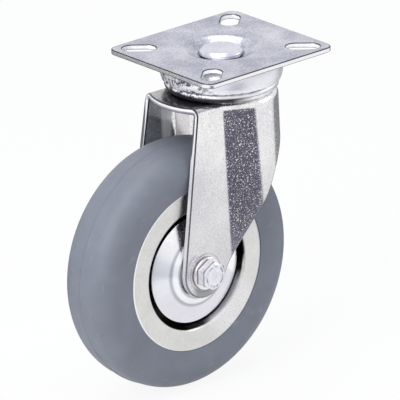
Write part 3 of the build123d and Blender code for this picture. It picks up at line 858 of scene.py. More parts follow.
# ---- top plate -----------------------------------------------------------------------------
@dataclass
class TopPlate:
    """Plate with a pressed dish in its middle and four slots that point at it."""

    length: float = 82.0
    width: float = 74.0
    corner_r: float = 5.0
    gauge: float = 2.5
    edge_r: float = 0.5
    slot_x: float = 29.5
    slot_y: float = 26.5
    slot_length: float = 16.5
    slot_width: float = 9.0
    join_r: float = 23.6
    dish_rim_r: float = 18.6
    dish_floor_r: float = 12.4
    dish_depth: float = 3.4
    dish_bend_r: float = 4.0
    pin_hole_r: float = 7.03
    side_steps: int = 12
    face_loops: int = 5
    turn_steps: int = 144

    def quarter_edge(self, inset: float) -> Array:
        """Edge of one quarter of the plate, from the dish out along x, round and back to the dish.

        The parts are: the straight side y = 0, the short edge, the corner arc, the long edge, the
        side x = 0, and the dish's circle from 90 degrees back to 0.

        Args:
            inset: How far the edge is held back.

        Returns:
            The loop as an (n, 2) array, with as many points in each part.
        """
        x, y = self.length / 2 - inset, self.width / 2 - inset
        radius = self.corner_r - inset
        share = np.linspace(0, 1, self.side_steps + 1)[:-1, None]
        turn = share * QUARTER
        arc = np.hstack([np.cos(turn), np.sin(turn)])
        corner = np.array([x - radius, y - radius]) + radius * arc
        dish = self.join_r * arc[:, ::-1]
        return np.vstack([
            blend(np.array([self.join_r, 0]), np.array([x, 0]), share),
            blend(np.array([x, 0]), np.array([x, y - radius]), share), corner,
            blend(np.array([x - radius, y]), np.array([0, y]), share),
            blend(np.array([0, y]), np.array([0, self.join_r]), share), dish])

    def slot_edge(self, edge: Array, grow: float) -> Array:
        """Where the rays from the slot's middle to the edge's points cross the slot's outline.

        In the slot's own directions, u along it and v across, a ray (u, v) leaves through the
        straight side at half the width over |v|, or, past the straight part, through the end's
        circle: the far root of |s (u, v) - (h, 0)| = half the width, where h is half the
        straight part.

        Args:
            edge: Points of the quarter's edge, as an (n, 2) array.
            grow: How much wider the outline is than the slot, on every side.

        Returns:
            The crossings as an (n, 2) array.
        """
        middle = np.array([self.slot_x, self.slot_y])
        along = unit(middle)
        across = np.array([-along[1], along[0]])
        ray = unit(edge - middle)
        u, v = ray @ along, ray @ across
        half = self.slot_width / 2 + grow
        straight = (self.slot_length - self.slot_width) / 2
        side = half / np.maximum(np.abs(v), TINY)
        centre = np.abs(u) * straight
        end = centre + np.sqrt(np.maximum(centre ** 2 - straight ** 2 + half ** 2, 0))
        reach = np.where(np.abs(u) * side <= straight, side, end)
        return middle + ray * reach[:, None]

    def quarter(self) -> Skin:
        """One quarter: top and bottom between slot and edge, the outer side and the slot's wall.

        Returns:
            The quarter where x and y are above zero.
        """
        loops = edge_loops(self.gauge, self.edge_r)
        cut = rolled_cut(len(loops))
        face_inset = self.edge_r * HOLD_BACK
        edge = self.quarter_edge(face_inset)
        share = np.linspace(0, 1, self.face_loops)[:, None, None]
        flat = blend(self.slot_edge(edge, face_inset)[None], edge[None], share)
        top, bottom = (np.concatenate([flat, np.full(flat.shape[:2] + (1,), -depth)], -1)
                       for depth in (0.0, self.gauge))
        level = [np.full((len(edge), 1), -depth) for depth, _inset in loops]
        side = np.array([np.hstack([self.quarter_edge(inset), z])
                         for (_depth, inset), z in zip(loops, level)])
        slot = np.array([np.hstack([self.slot_edge(edge, inset), z])
                         for (_depth, inset), z in zip(loops, level)])
        outer = slice(self.side_steps, 4 * self.side_steps + 1)
        return (Skin.grid(top, wrap_columns=True) + Skin.grid(bottom, wrap_columns=True)
                + Skin.grid(side[:, outer], cut=cut) + Skin.grid(slot, wrap_columns=True, cut=cut))

    def dish(self) -> Skin:
        """Pressed dish: a bent sheet turned about the swivel axis, open where it meets the plate.

        Returns:
            The dish.
        """
        middle = -self.gauge / 2
        low = middle - self.dish_depth
        line = np.array([(self.pin_hole_r, low), (self.dish_floor_r, low),
                         (self.dish_rim_r, middle), (self.join_r + 1, middle)])
        outline = bent_sheet(line, self.dish_bend_r, self.gauge, self.edge_r)
        outline = np.column_stack([np.minimum(outline[:, 0], self.join_r), outline[:, 1]])
        return Skin.turned(outline, SWIVEL, self.turn_steps)

    def build(self, finishes: FinishBook) -> None:
        """Makes the plate from four mirrored quarters and the dish.

        Args:
            finishes: The finishes.
        """
        quarter = self.quarter()
        half = quarter + quarter.mirrored()
        skin = half + half.mirrored((-1, 1, 1)) + self.dish()
        finishes.piece("slotted_plate", skin, finishes.plate, Body.PLATE, "top_plate")


# ---- swivel head ---------------------------------------------------------------------------
@dataclass
class SwivelHead:
    """Race housing under the plate, kingpin through it, and the dust ring on the fork."""

    gauge: float = 2.1
    hole_r: float = 19.9
    plate_under: float = -2.5
    wall_r: float = 27.9
    wall_end_z: float = -11.4
    lip_r: float = 27.1
    lip_z: float = -14.2
    lip_edge_r: float = 0.5
    track_r: float = 4.0
    lip_bend_r: float = 5.0
    dust_gauge: float = 1.0
    dust_edge_r: float = 0.2
    dust_r: float = 27.9
    dust_top_z: float = -14.7
    dust_bend_r: float = 1.9
    dome_r: float = 24.03
    crown_z: float = -19.67
    pin_head_r: float = 10.6
    pin_top_z: float = -0.2
    pin_chamfer: float = 1.5
    pin_chamfer_slope: float = 0.8
    pin_seat_z: float = -3.4
    pin_shank_r: float = 7.0
    pin_tail_r: float = 6.0
    pin_shoulder_z: float = -16.11
    pin_peen_z: float = -20.11
    pin_peen_r: float = 9.0
    pin_peen_edge: float = 1.0
    pin_peen_cap: Pair = (0.6, 2.9)     # share of the radius, and how far down
    pin_peen_h: float = 3.4
    turn_steps: int = 160
    pin_steps: int = 120

    def housing(self) -> Skin:
        """Inverted bowl: a bent sheet from its hole out to the wall and down to the lip.

        Returns:
            The housing.
        """
        half = self.gauge / 2
        wall, top = self.wall_r + half, self.plate_under - half
        line = [(self.hole_r, top), (wall, top), (wall, self.wall_end_z),
                (self.lip_r + half, self.lip_z)]
        bends = [self.track_r + half, self.lip_bend_r]
        outline = bent_sheet(line, bends, self.gauge, self.lip_edge_r, 10)
        return Skin.turned(outline, SWIVEL, self.turn_steps)

    def dust_ring(self) -> Skin:
        """Half-round ring: a bent sheet open towards the axis.

        Returns:
            The ring.
        """
        half = self.dust_gauge / 2
        outer, top, bottom = self.dust_r - half, self.dust_top_z - half, self.crown_z + half
        line = [(self.dome_r, top), (outer, top), (outer, bottom), (self.dome_r, bottom)]
        outline = bent_sheet(line, self.dust_bend_r, self.dust_gauge, self.dust_edge_r, 8)
        return Skin.turned(outline, SWIVEL, self.turn_steps)

    def kingpin(self) -> Skin:
        """Rivet: a chamfered head, a stepped shank and a domed lower head.

        Each row below is a corner's radius, its height, and the radius of its rounding.

        Returns:
            The rivet.
        """
        cap_share, cap_drop = self.pin_peen_cap
        rows = np.array([
            (0, self.pin_top_z, 0),
            (self.pin_head_r - self.pin_chamfer, self.pin_top_z, 0.5),
            (self.pin_head_r, self.pin_top_z - self.pin_chamfer * self.pin_chamfer_slope, 0.5),
            (self.pin_head_r, self.pin_seat_z, 0.3),
            (self.pin_shank_r, self.pin_seat_z, 0.2),
            (self.pin_shank_r, self.pin_shoulder_z, 0.1),
            (self.pin_tail_r, self.pin_shoulder_z, 0.1),
            (self.pin_tail_r, self.pin_peen_z, 0.1),
            (self.pin_peen_r, self.pin_peen_z, 0.3),
            (self.pin_peen_r, self.pin_peen_z - self.pin_peen_edge, 0.9),
            (self.pin_peen_r * cap_share, self.pin_peen_z - cap_drop, 3.0),
            (0, self.pin_peen_z - self.pin_peen_h, 0)])
        return Skin.turned(rounded(rows[:, :2], rows[:, 2]), SWIVEL, self.pin_steps)

    def build(self, finishes: FinishBook) -> None:
        """Makes the head's three visible pieces.

        Args:
            finishes: The finishes.
        """
        for name, skin, finish, body, node in (
                ("race_housing_shell", self.housing(), finishes.race, Body.PLATE, "race_housing"),
                ("kingpin_rivet", self.kingpin(), finishes.pin, Body.PLATE, "kingpin"),
                ("dust_ring_rolled", self.dust_ring(), finishes.dust, Body.FORK, "dust_ring")):
            finishes.piece(name, skin, finish, body, node)


# ---- fork ----------------------------------------------------------------------------------
@dataclass
class Fork:
    """One pressing: crown with a raised dome, flat-fronted legs that flare into a round back.

    A station runs along the horseshoe section of one side: 0 at the front edge, 0 to 1 along the
    flat, 1 to 2 round the crease, 2 to 3 along the flare, 3 to 4 round its corner, and 4 to 5
    round the back to the middle. x is the frame's, and w is the distance from the middle plane.
    """

    gauge: float = 3.0
    edge_r: float = 0.6
    crown_z: float = -19.7
    bend_r: float = 4.0
    hole_r: float = 22.6
    front_arc_x: float = -37.0
    front_arc_r: float = 32.0
    leg_out: float = 19.2
    leg_splay: float = 0.026
    back_r: float = 27.5
    back_draft: float = 0.03
    crease_x: float = -17.1
    crease_lean: float = 0.03
    crease_r: float = 6.0
    flare_x: float = -2.2
    flare_lean: float = 0.100
    flare_r: float = 9.0
    end_r: float = 12.8
    front_top: Pair = (-32.4, -20.5)
    knee: Pair = (8.0, -63.5)
    back_edge: Pair = (31.0, -37.0)
    seat_r: float = 9.6
    seat_out: float = 21.466
    seat_depth: float = 0.6
    seat_edge_r: float = 0.12
    hole_in_leg_r: float = 4.2
    dome_top_z: float = -8.1
    dome_wall_r: float = 24.0
    dome_gauge: float = 2.8
    dome_bends: Triple = (5.4, 3.0, 2.4)
    collar_r: float = 10.5
    collar_end_z: float = -14.4
    collar_edge_r: float = 0.3
    lower_track_r: float = 3.1
    upper_track: Pair = (24.695, -7.223)
    upper_track_r: float = 4.0
    track_points: int = 9
    station_steps: tuple[int, ...] = (24, 6, 12, 8, 24)
    wall_rows: int = 72
    bend_rows: int = 9
    crown_rows: int = 6
    front_columns: int = 25
    wall_halvings: int = 44
    bend_halvings: int = 30
    dome_steps: int = 144
    seat_steps: int = 96
    stations: Array = field(init=False)

    def __post_init__(self) -> None:
        """Spaces the stations evenly within each part of the section."""
        parts = [part + np.linspace(0, 1, steps + 1)[:-1]
                 for part, steps in enumerate(self.station_steps)]
        self.stations = np.concatenate([*parts, [len(parts)]])

    def touch(self, point: Pair, side: int) -> Array:
        """Where the line from a point touches the round end of the leg.

        Seen from the round end's centre, the angle between the point and the touch is the one
        whose cosine is the end's radius over the point's distance.

        Args:
            point: x and z of the point.
            side: 1 for the front edge, -1 for the rear one.

        Returns:
            x and z of the touch.
        """
        away = np.subtract(point, (AXLE_X, AXLE_Z))
        angle = np.arctan2(away[1], away[0]) + side * np.arccos(self.end_r / np.hypot(*away))
        return np.array([AXLE_X, AXLE_Z]) + self.end_r * np.array([np.cos(angle), np.sin(angle)])

    def front_x(self, z: Array, inset: float) -> Array:
        """Front edge in side view: upright, then leaning, then the left half of the round end.

        Args:
            z: Heights.
            inset: How far the edge is held back.

        Returns:
            x of the edge at each height.
        """
        top, foot = np.array(self.front_top), self.touch(self.front_top, 1)
        lean = (foot - top) / np.linalg.norm(foot - top)
        line = top[0] + (z - top[1]) * lean[0] / lean[1] + inset / abs(lean[1])
        circle = AXLE_X - np.sqrt(np.maximum((self.end_r - inset) ** 2 - (z - AXLE_Z) ** 2, 0))
        return np.select([z > top[1], z > foot[1]], [top[0] + inset, line], circle)

    def rear_x(self, z: Array, inset: float) -> Array:
        """Rear edge in side view: right half of the round end, a straight rise, an arc to the back.

        The arc leaves the straight rise at the knee without a corner. Its centre lies on the
        knee's normal at |chord|^2 over twice the chord's part along that normal.

        Args:
            z: Heights.
            inset: How far the edge is held back.

        Returns:
            x of the edge at each height.
        """
        knee, foot = np.array(self.knee), self.touch(self.knee, -1)
        rise = unit(knee - foot)
        normal = np.array([rise[1], -rise[0]])
        chord = np.array(self.back_edge) - knee
        arc_r = (chord @ chord) / (2 * chord @ normal)
        centre = knee + normal * arc_r
        circle = AXLE_X + np.sqrt(np.maximum((self.end_r - inset) ** 2 - (z - AXLE_Z) ** 2, 0))
        line = knee[0] + (z - knee[1]) * rise[0] / rise[1] - inset / rise[1]
        arc = centre[0] - np.sqrt(np.maximum((arc_r + inset) ** 2 - (z - centre[1]) ** 2, 0))
        return np.select([z < foot[1], z < knee[1], z < self.back_edge[1]], [circle, line, arc],
                         self.back_edge[0] - inset)

    def section(self, station: Array, z: Array, sunk: Array | float,
                front: Array) -> tuple[Array, Array]:
        """Point of the horseshoe section.

        The flat runs at w = leg. The crease is an arc outside the sheet, and the flare's corner an
        arc inside it that touches both the flare and the back's circle: its centre lies on the
        flare's offset line at the root nearest the corner. The back is a circle about the axis.
        The point then moves inwards along the section's normal, (-sin b, cos b).

        Args:
            station: Place along the section, 0 to 5.
            z: Height.
            sunk: How far the point lies inside the outer face.
            front: x of the front edge.

        Returns:
            x and w of the point.
        """
        down = self.crown_z - z
        leg, back = self.leg_out + self.leg_splay * down, self.back_r + self.back_draft * down
        crease = self.crease_x + self.crease_lean * down
        flare = self.flare_x + self.flare_lean * down
        flare_w = np.sqrt(back ** 2 - flare ** 2)
        turn = np.arctan2(flare_w - leg, flare - crease)
        sin, cos = np.sin(turn), np.cos(turn)
        crease_start, crease_w = crease - self.crease_r * np.tan(turn / 2), leg + self.crease_r
        from_x, from_w = flare + self.flare_r * sin, flare_w - self.flare_r * cos
        along = from_x * cos + from_w * sin
        slide = np.sqrt(along ** 2 - from_x ** 2 - from_w ** 2 + (back - self.flare_r) ** 2) - along
        corner_x, corner_w = from_x + slide * cos, from_w + slide * sin
        back_turn = np.arctan2(-corner_x, corner_w)
        part = np.clip(np.floor(station), 0, 4)
        share = station - part
        choice = [part == 0, part == 1, part == 2, part == 3]
        angle = np.select(choice, [0 * turn, turn * share, turn + 0 * share,
                                   blend(turn, back_turn, share)],
                          blend(back_turn, -QUARTER, share))
        s, c = np.sin(angle), np.cos(angle)
        start_x, start_w = crease_start + self.crease_r * sin, crease_w - self.crease_r * cos
        end_x, end_w = corner_x - self.flare_r * sin, corner_w + self.flare_r * cos
        x = np.select(choice, [blend(front, crease_start, share), crease_start + self.crease_r * s,
                               blend(start_x, end_x, share), corner_x - self.flare_r * s],
                      -back * s)
        w = np.select(choice, [leg + 0 * share, crease_w - self.crease_r * c,
                               blend(start_w, end_w, share), corner_w + self.flare_r * c], back * c)
        return x + sunk * s, w - sunk * c

    def lowest(self, sunk: float, inset: float) -> Array:
        """Height at which each station's line meets the rear edge, found by halving an interval.

        Args:
            sunk: Depth of the face inside the sheet.
            inset: How far the edge is held back.

        Returns:
            The height for each station.
        """
        high = np.full_like(self.stations, self.crown_z - self.bend_r)
        low = np.full_like(self.stations, AXLE_Z - self.end_r + inset)
        for _ in range(self.wall_halvings):
            middle = (high + low) / 2
            x, _w = self.section(self.stations, middle, sunk, self.front_x(middle, inset))
            inside = x < self.rear_x(middle, inset)
            high, low = np.where(inside, middle, high), np.where(inside, low, middle)
        return low

    def wall(self, sunk: float, inset: float) -> Array:
        """Legs and back of one side: z runs from the bend to the rear edge, closer at its end.

        The share of the way down is the sine of an angle with even steps.

        Args:
            sunk: Depth of the face inside the sheet.
            inset: How far the edges are held back.

        Returns:
            The grid, a row for each station.
        """
        station = self.stations[:, None]
        top = self.crown_z - self.bend_r
        share = np.sin(np.linspace(0, QUARTER, self.wall_rows))
        z = blend(top, self.lowest(sunk, inset)[:, None], share)
        x, w = self.section(station, z, sunk, self.front_x(z, inset))
        return np.stack([x, -w, z + 0 * x], -1)

    def crown_front(self, w: Array, inset: float) -> Array:
        """Front edge of the crown in plan: an arc whose foremost point lies on the middle plane."""
        fall = np.sqrt((self.front_arc_r - inset) ** 2 - np.minimum(w, self.front_arc_r / 2) ** 2)
        return self.front_arc_x + self.front_arc_r - fall

    def bend_at(self, angle: Array, sunk: float, inset: float) -> tuple[Array, Array, Array]:
        """Point on the bend between wall and crown: the section, moved in as the bend turns over.

        At an angle a on a bend of radius r, the point stands r sin(a) above the wall's end, and
        its section lies the sheet's bend radius less r cos(a) inside the wall's.

        Args:
            angle: Angle from the wall, for each station.
            sunk: Depth of the face inside the sheet.
            inset: How far the front edge is held back.

        Returns:
            x, w and z of the point.
        """
        radius = self.bend_r - sunk
        z = self.crown_z - self.bend_r + radius * np.sin(angle)
        moved = self.bend_r - radius * np.cos(angle)
        w_flat = self.leg_out + self.leg_splay * (self.crown_z - z) - moved
        front = np.minimum(np.maximum(self.crown_front(w_flat, inset), self.front_arc_x),
                           self.front_x(z, inset))
        x, w = self.section(self.stations[:, None], z, moved, front)
        return x, w, z

    def bend(self, sunk: float, inset: float) -> Array:
        """Bend of one side, cut off at the hole under the dome by halving its angle.

        Args:
            sunk: Depth of the face inside the sheet.
            inset: How far the front edge is held back.

        Returns:
            The grid, a row for each station.
        """
        low, high = np.zeros((len(self.stations), 1)), np.full((len(self.stations), 1), QUARTER)
        for _ in range(self.bend_halvings):
            middle = (low + high) / 2
            x, w, _z = self.bend_at(middle, sunk, inset)
            outside = np.hypot(x, w) > self.hole_r
            low, high = np.where(outside, middle, low), np.where(outside, high, middle)
        x, w, z = self.bend_at(low * np.linspace(0, 1, self.bend_rows), sunk, inset)
        return np.stack([x, -w, z + 0 * x], -1)

    def inwards(self, line: Array) -> Array:
        """Level strip from a line of points straight towards the axis, to the hole under the dome.

        Args:
            line: The points, as an (n, 3) array.

        Returns:
            The grid, a row for each point.
        """
        radius = np.hypot(line[:, 0], line[:, 1])[:, None, None]
        share = np.linspace(0, 1, self.crown_rows)[None, :, None]
        scale = blend(1.0, np.minimum(self.hole_r / radius, 1.0), share)
        return np.concatenate([line[:, None, :2] * scale,
                               np.broadcast_to(line[:, None, 2:], scale.shape)], -1)

    def front_line(self, inset: float, corner: Array) -> Array:
        """Front edge of the crown between the two bends.

        Args:
            inset: How far the edge is held back.
            corner: Where it meets the near bend.

        Returns:
            The points from the near corner to the far one.
        """
        y = corner[1] * np.linspace(1, -1, self.front_columns)
        return np.column_stack([self.crown_front(np.abs(y), inset), y, np.full_like(y, corner[2])])

    def faces(self, sunk: float, inset: float) -> tuple[Skin, Array, Array]:
        """One face of the sheet.

        Args:
            sunk: Depth of the face inside the sheet: 0 outside, the gauge inside.
            inset: How far the free edges are held back.

        Returns:
            The skin, the loop along its free edge, and the loop round its hole.
        """
        wall, bend = self.wall(sunk, inset), self.bend(sunk, inset)
        front = self.front_line(inset, bend[0, -1])
        crown, middle = self.inwards(bend[:, -1]), self.inwards(front)
        side = Skin.grid(wall) + Skin.grid(bend) + Skin.grid(crown)
        near = slice(0, self.front_columns // 2 + 1)
        edge = np.vstack([wall[::-1, -1], wall[0, ::-1], bend[0], front[near]])
        hole = np.vstack([crown[::-1, -1], middle[near, -1]])
        flip = (1, -1, 1)
        return (side + side.mirrored() + Skin.grid(middle),
                np.vstack([edge, edge[::-1] * flip]), np.vstack([hole, hole[::-1] * flip]))

    def pressing(self) -> Skin:
        """Sheet of the fork: outer face, inner face, rounded free edges and the wall of the hole.

        Returns:
            The sheet.
        """
        loops = edge_loops(self.gauge, self.edge_r)
        outer, _edge, outer_hole = self.faces(0.0, self.edge_r * HOLD_BACK)
        inner, _edge, inner_hole = self.faces(self.gauge, self.edge_r * HOLD_BACK)
        edges = np.array([self.faces(depth, inset)[1] for depth, inset in loops])
        return (outer + inner + Skin.grid(edges, wrap_columns=True, cut=rolled_cut(len(loops)))
                + Skin.grid(np.array([outer_hole, inner_hole]), wrap_columns=True))

    def dome(self) -> Skin:
        """Raised middle with its collar: a closed section turned about the swivel axis.

        The ball track is an arc about the track's centre, from the wall up to the top.

        Returns:
            The dome.
        """
        under, inner = self.dome_top_z - self.dome_gauge, self.dome_wall_r - self.dome_gauge
        collar_in, foot = self.collar_r - self.dome_gauge, self.crown_z - self.gauge
        mouth, shoulder, hem = self.dome_bends
        track = np.array(self.upper_track)
        turn = np.linspace(-np.arccos((self.dome_wall_r - track[0]) / self.upper_track_r),
                           -np.pi - np.arcsin((self.dome_top_z - track[1]) / self.upper_track_r),
                           self.track_points)
        arc = track + self.upper_track_r * np.column_stack([np.cos(turn), np.sin(turn)])
        corners = np.vstack([(collar_in, self.collar_end_z), (self.collar_r, self.collar_end_z),
                             (self.collar_r, under), (inner, under), (inner, foot),
                             (self.dome_wall_r, foot), arc, (collar_in, self.dome_top_z)])
        radii = [self.collar_edge_r, self.collar_edge_r, self.lower_track_r, shoulder, hem, 0,
                 *np.zeros(self.track_points), mouth]
        return Skin.turned(rounded(corners, radii, 8), SWIVEL, self.dome_steps)

    def seats(self) -> Skin:
        """Flat coined ring round the hole in each leg.

        Returns:
            Both rings.
        """
        foot = self.seat_out - self.seat_depth
        corners = [(self.hole_in_leg_r, foot), (self.seat_r, foot), (self.seat_r, self.seat_out),
                   (self.hole_in_leg_r, self.seat_out)]
        outline = rounded(corners, [0, 0, self.seat_edge_r, 0], 3)
        near = Skin.turned(outline, NEAR_AXLE, self.seat_steps)
        return near + near.mirrored()

    def build(self, finishes: FinishBook) -> None:
        """Makes the fork from its pressing, its dome and the seats of the axle.

        Args:
            finishes: The finishes.
        """
        skin = self.pressing() + self.dome() + self.seats()
        finishes.piece("fork_pressing", skin, finishes.fork, Body.FORK, "fork")


# ---- axle ----------------------------------------------------------------------------------
@dataclass
class Axle:
    """Hexagon bolt, two washers and a self-locking nut with a plastic ring."""

    seat: float = 21.466
    flats: float = 13.0
    face_part: float = 0.95         # of half the flats, out to the chamfer
    face_flat: float = 0.97         # of that face, out to one more loop for the shading
    chamfer_slope: float = 0.75
    chamfer_loops: int = 7
    foot_step: float = 0.25
    head_h: float = 5.3
    washer_r: float = 8.2
    washer_hole_r: float = 4.2
    washer_h: float = 1.6
    bolt_r: float = 4.0
    nut_hex_h: float = 6.3
    nut_h: float = 8.0
    nut_fit: float = 0.03
    nut_collar_r: float = 5.9
    nut_collar_foot: float = 1.0
    nut_lip: float = 0.5
    nut_lip_h: float = 0.3
    insert_r: float = 5.1
    stick_out: float = 2.2
    pitch: float = 1.25
    thread_depth: float = 0.7
    thread_rows: int = 60
    tip_chamfer: float = 0.9
    steps: int = 96

    def hexagon(self, low: float, height: float, spindle: Spindle, hole_r: float = 0.0) -> Skin:
        """Hexagonal head or nut with a turned chamfer on its outer face.

        The outline's radius is half the flats over cos of the angle to the nearest flat's middle.
        Past the chamfer's circle the face drops by the slope times the extra radius.

        Args:
            low: Height of its seat.
            height: Height of the hexagon.
            spindle: Axis it lies on.
            hole_r: Radius of a hole through it, or 0.

        Returns:
            The closed skin.
        """
        angle = np.linspace(0, TAU, self.steps, endpoint=False)
        rim = self.flats / 2 / np.cos(np.mod(angle, TAU / 6) - TAU / 12)
        face_r = self.flats / 2 * self.face_part
        share = np.linspace(0, 1, self.chamfer_loops)[:, None]
        face = np.array([[hole_r], [face_r * self.face_flat], [face_r]]) + 0 * angle
        slope = blend(np.full(self.steps, face_r), rim, share)[1:]
        radius = np.vstack([face, slope, rim[None], rim[None] - self.foot_step, face[:1]])
        top = low + height
        drop = top - (slope - face_r) * self.chamfer_slope
        level = np.vstack([np.full((3, self.steps), top), drop,
                           np.full((1, self.steps), low + self.foot_step),
                           np.full((2, self.steps), low)])
        points = spindle.place(radius, level, np.broadcast_to(angle, radius.shape))
        return Skin.grid(points, wrap_rows=hole_r > 0, wrap_columns=True)

    def washer(self, spindle: Spindle) -> Skin:
        """Plain washer with a slightly rounded rim.

        Args:
            spindle: Axis it lies on.

        Returns:
            The washer.
        """
        low, high = self.seat, self.seat + self.washer_h
        corners = [(self.washer_hole_r, low), (self.washer_r, low), (self.washer_r, high),
                   (self.washer_hole_r, high)]
        return Skin.turned(rounded(corners, [0.1, 0.2, 0.35, 0.1], 4), spindle, self.steps)

    def shank(self) -> Skin:
        """Plain shank between the legs: a turned rod.

        Returns:
            The shank.
        """
        end = self.seat + self.washer_h
        outline = np.array([(0, -end), (self.bolt_r, -end), (self.bolt_r, end), (0, end)])
        return Skin.turned(outline, NEAR_AXLE, self.steps)

    def thread(self) -> Skin:
        """Threaded end past the nut.

        The radius falls below the bolt's by the thread's depth times a triangle wave of
        height / pitch - angle / 360 degrees, stretched by 1.25, lowered by 0.12 and held from 0
        to 1, and a chamfer caps it at the tip.

        Returns:
            The closed skin.
        """
        top = self.seat + self.washer_h + self.nut_h
        start, tip = top - 2 * self.pitch, top + self.stick_out
        height = np.linspace(start, tip, self.thread_rows)[:, None]
        angle = np.linspace(0, TAU, self.steps, endpoint=False)[None, :]
        phase = np.mod(height / self.pitch - angle / TAU, 1)
        wave = np.clip(1.25 * (1 - np.abs(2 * phase - 1)) - 0.12, 0, 1)
        radius = self.bolt_r - self.thread_depth * wave
        radius = np.minimum(radius, self.bolt_r - self.tip_chamfer + (tip - height))
        points = FAR_AXLE.place(radius, height + 0 * angle, angle + 0 * height)
        inner, outer = (FAR_AXLE.place(0 * angle, np.full_like(angle, end), angle)
                        for end in (start, tip))
        return Skin.grid(np.concatenate([inner, points, outer]), wrap_columns=True)

    def nut(self) -> Skin:
        """Nut: hexagon with a hole, and a collar rolled in over the plastic ring.

        Returns:
            The nut.
        """
        low = self.seat + self.washer_h
        foot, top = low + self.nut_hex_h - self.nut_collar_foot, low + self.nut_h
        inner, lip = self.insert_r + self.nut_fit, self.insert_r - self.nut_lip
        corners = [(inner, foot), (self.nut_collar_r, foot), (self.nut_collar_r, top), (lip, top),
                   (lip, top - self.nut_lip_h), (inner, top - self.nut_lip_h)]
        collar = Skin.turned(rounded(corners, [0, 0, 0.9, 0.1, 0.1, 0], 5), FAR_AXLE, self.steps)
        return self.hexagon(low, self.nut_hex_h, FAR_AXLE, self.bolt_r + self.nut_fit) + collar

    def build(self, finishes: FinishBook) -> None:
        """Makes bolt, nut and washers.

        Args:
            finishes: The finishes.
        """
        head = self.hexagon(self.seat + self.washer_h, self.head_h, NEAR_AXLE)
        bolt = head + self.shank() + self.thread()
        for name, skin, finish, node in (
                ("hexagon_bolt", bolt, finishes.bolt, "axle_bolt"),
                ("lock_nut", self.nut(), finishes.bolt, "axle_nut"),
                ("washer_near", self.washer(NEAR_AXLE), finishes.washer, "axle_washer_near"),
                ("washer_far", self.washer(FAR_AXLE), finishes.washer, "axle_washer_far")):
            finishes.piece(name, skin, finish, Body.FORK, node)


# ---- thread guards -------------------------------------------------------------------------
@dataclass
class ThreadGuards:
    """Dished cover discs between the legs and the wheel, one each side."""

    gauge: float = 1.2
    hole_r: float = 4.15
    seat: float = 18.266
    seat_r: float = 9.2
    seat_rise: float = 0.5
    boss_r: float = 13.6
    step_r: float = 17.2
    step: float = 16.3
    disc_r: float = 27.5
    disc_out: float = 13.4
    bends: tuple[float, ...] = (0.7, 0.7, 1.6, 1.6)
    edge_r: float = 0.35
    turn_steps: int = 160

    def disc(self, spindle: Spindle) -> Skin:
        """Bent sheet turned about the axle: seat, boss, step and cone.

        Args:
            spindle: Axis it lies on.

        Returns:
            The disc.
        """
        half = self.gauge / 2
        seat = self.seat - half
        boss = seat - self.seat_rise
        line = [(self.hole_r, seat), (self.seat_r, seat), (self.seat_r + 2 * self.seat_rise, boss),
                (self.boss_r, boss), (self.step_r, self.step - half),
                (self.disc_r, self.disc_out - half)]
        return Skin.turned(bent_sheet(line, self.bends, self.gauge, self.edge_r), spindle,
                           self.turn_steps)

    def build(self, finishes: FinishBook) -> None:
        """Makes both discs.

        Args:
            finishes: The finishes.
        """
        for side, spindle in (("near", NEAR_AXLE), ("far", FAR_AXLE)):
            finishes.piece(f"guard_disc_{side}", self.disc(spindle), finishes.guard, Body.FORK,
                           f"thread_guard_{side}")


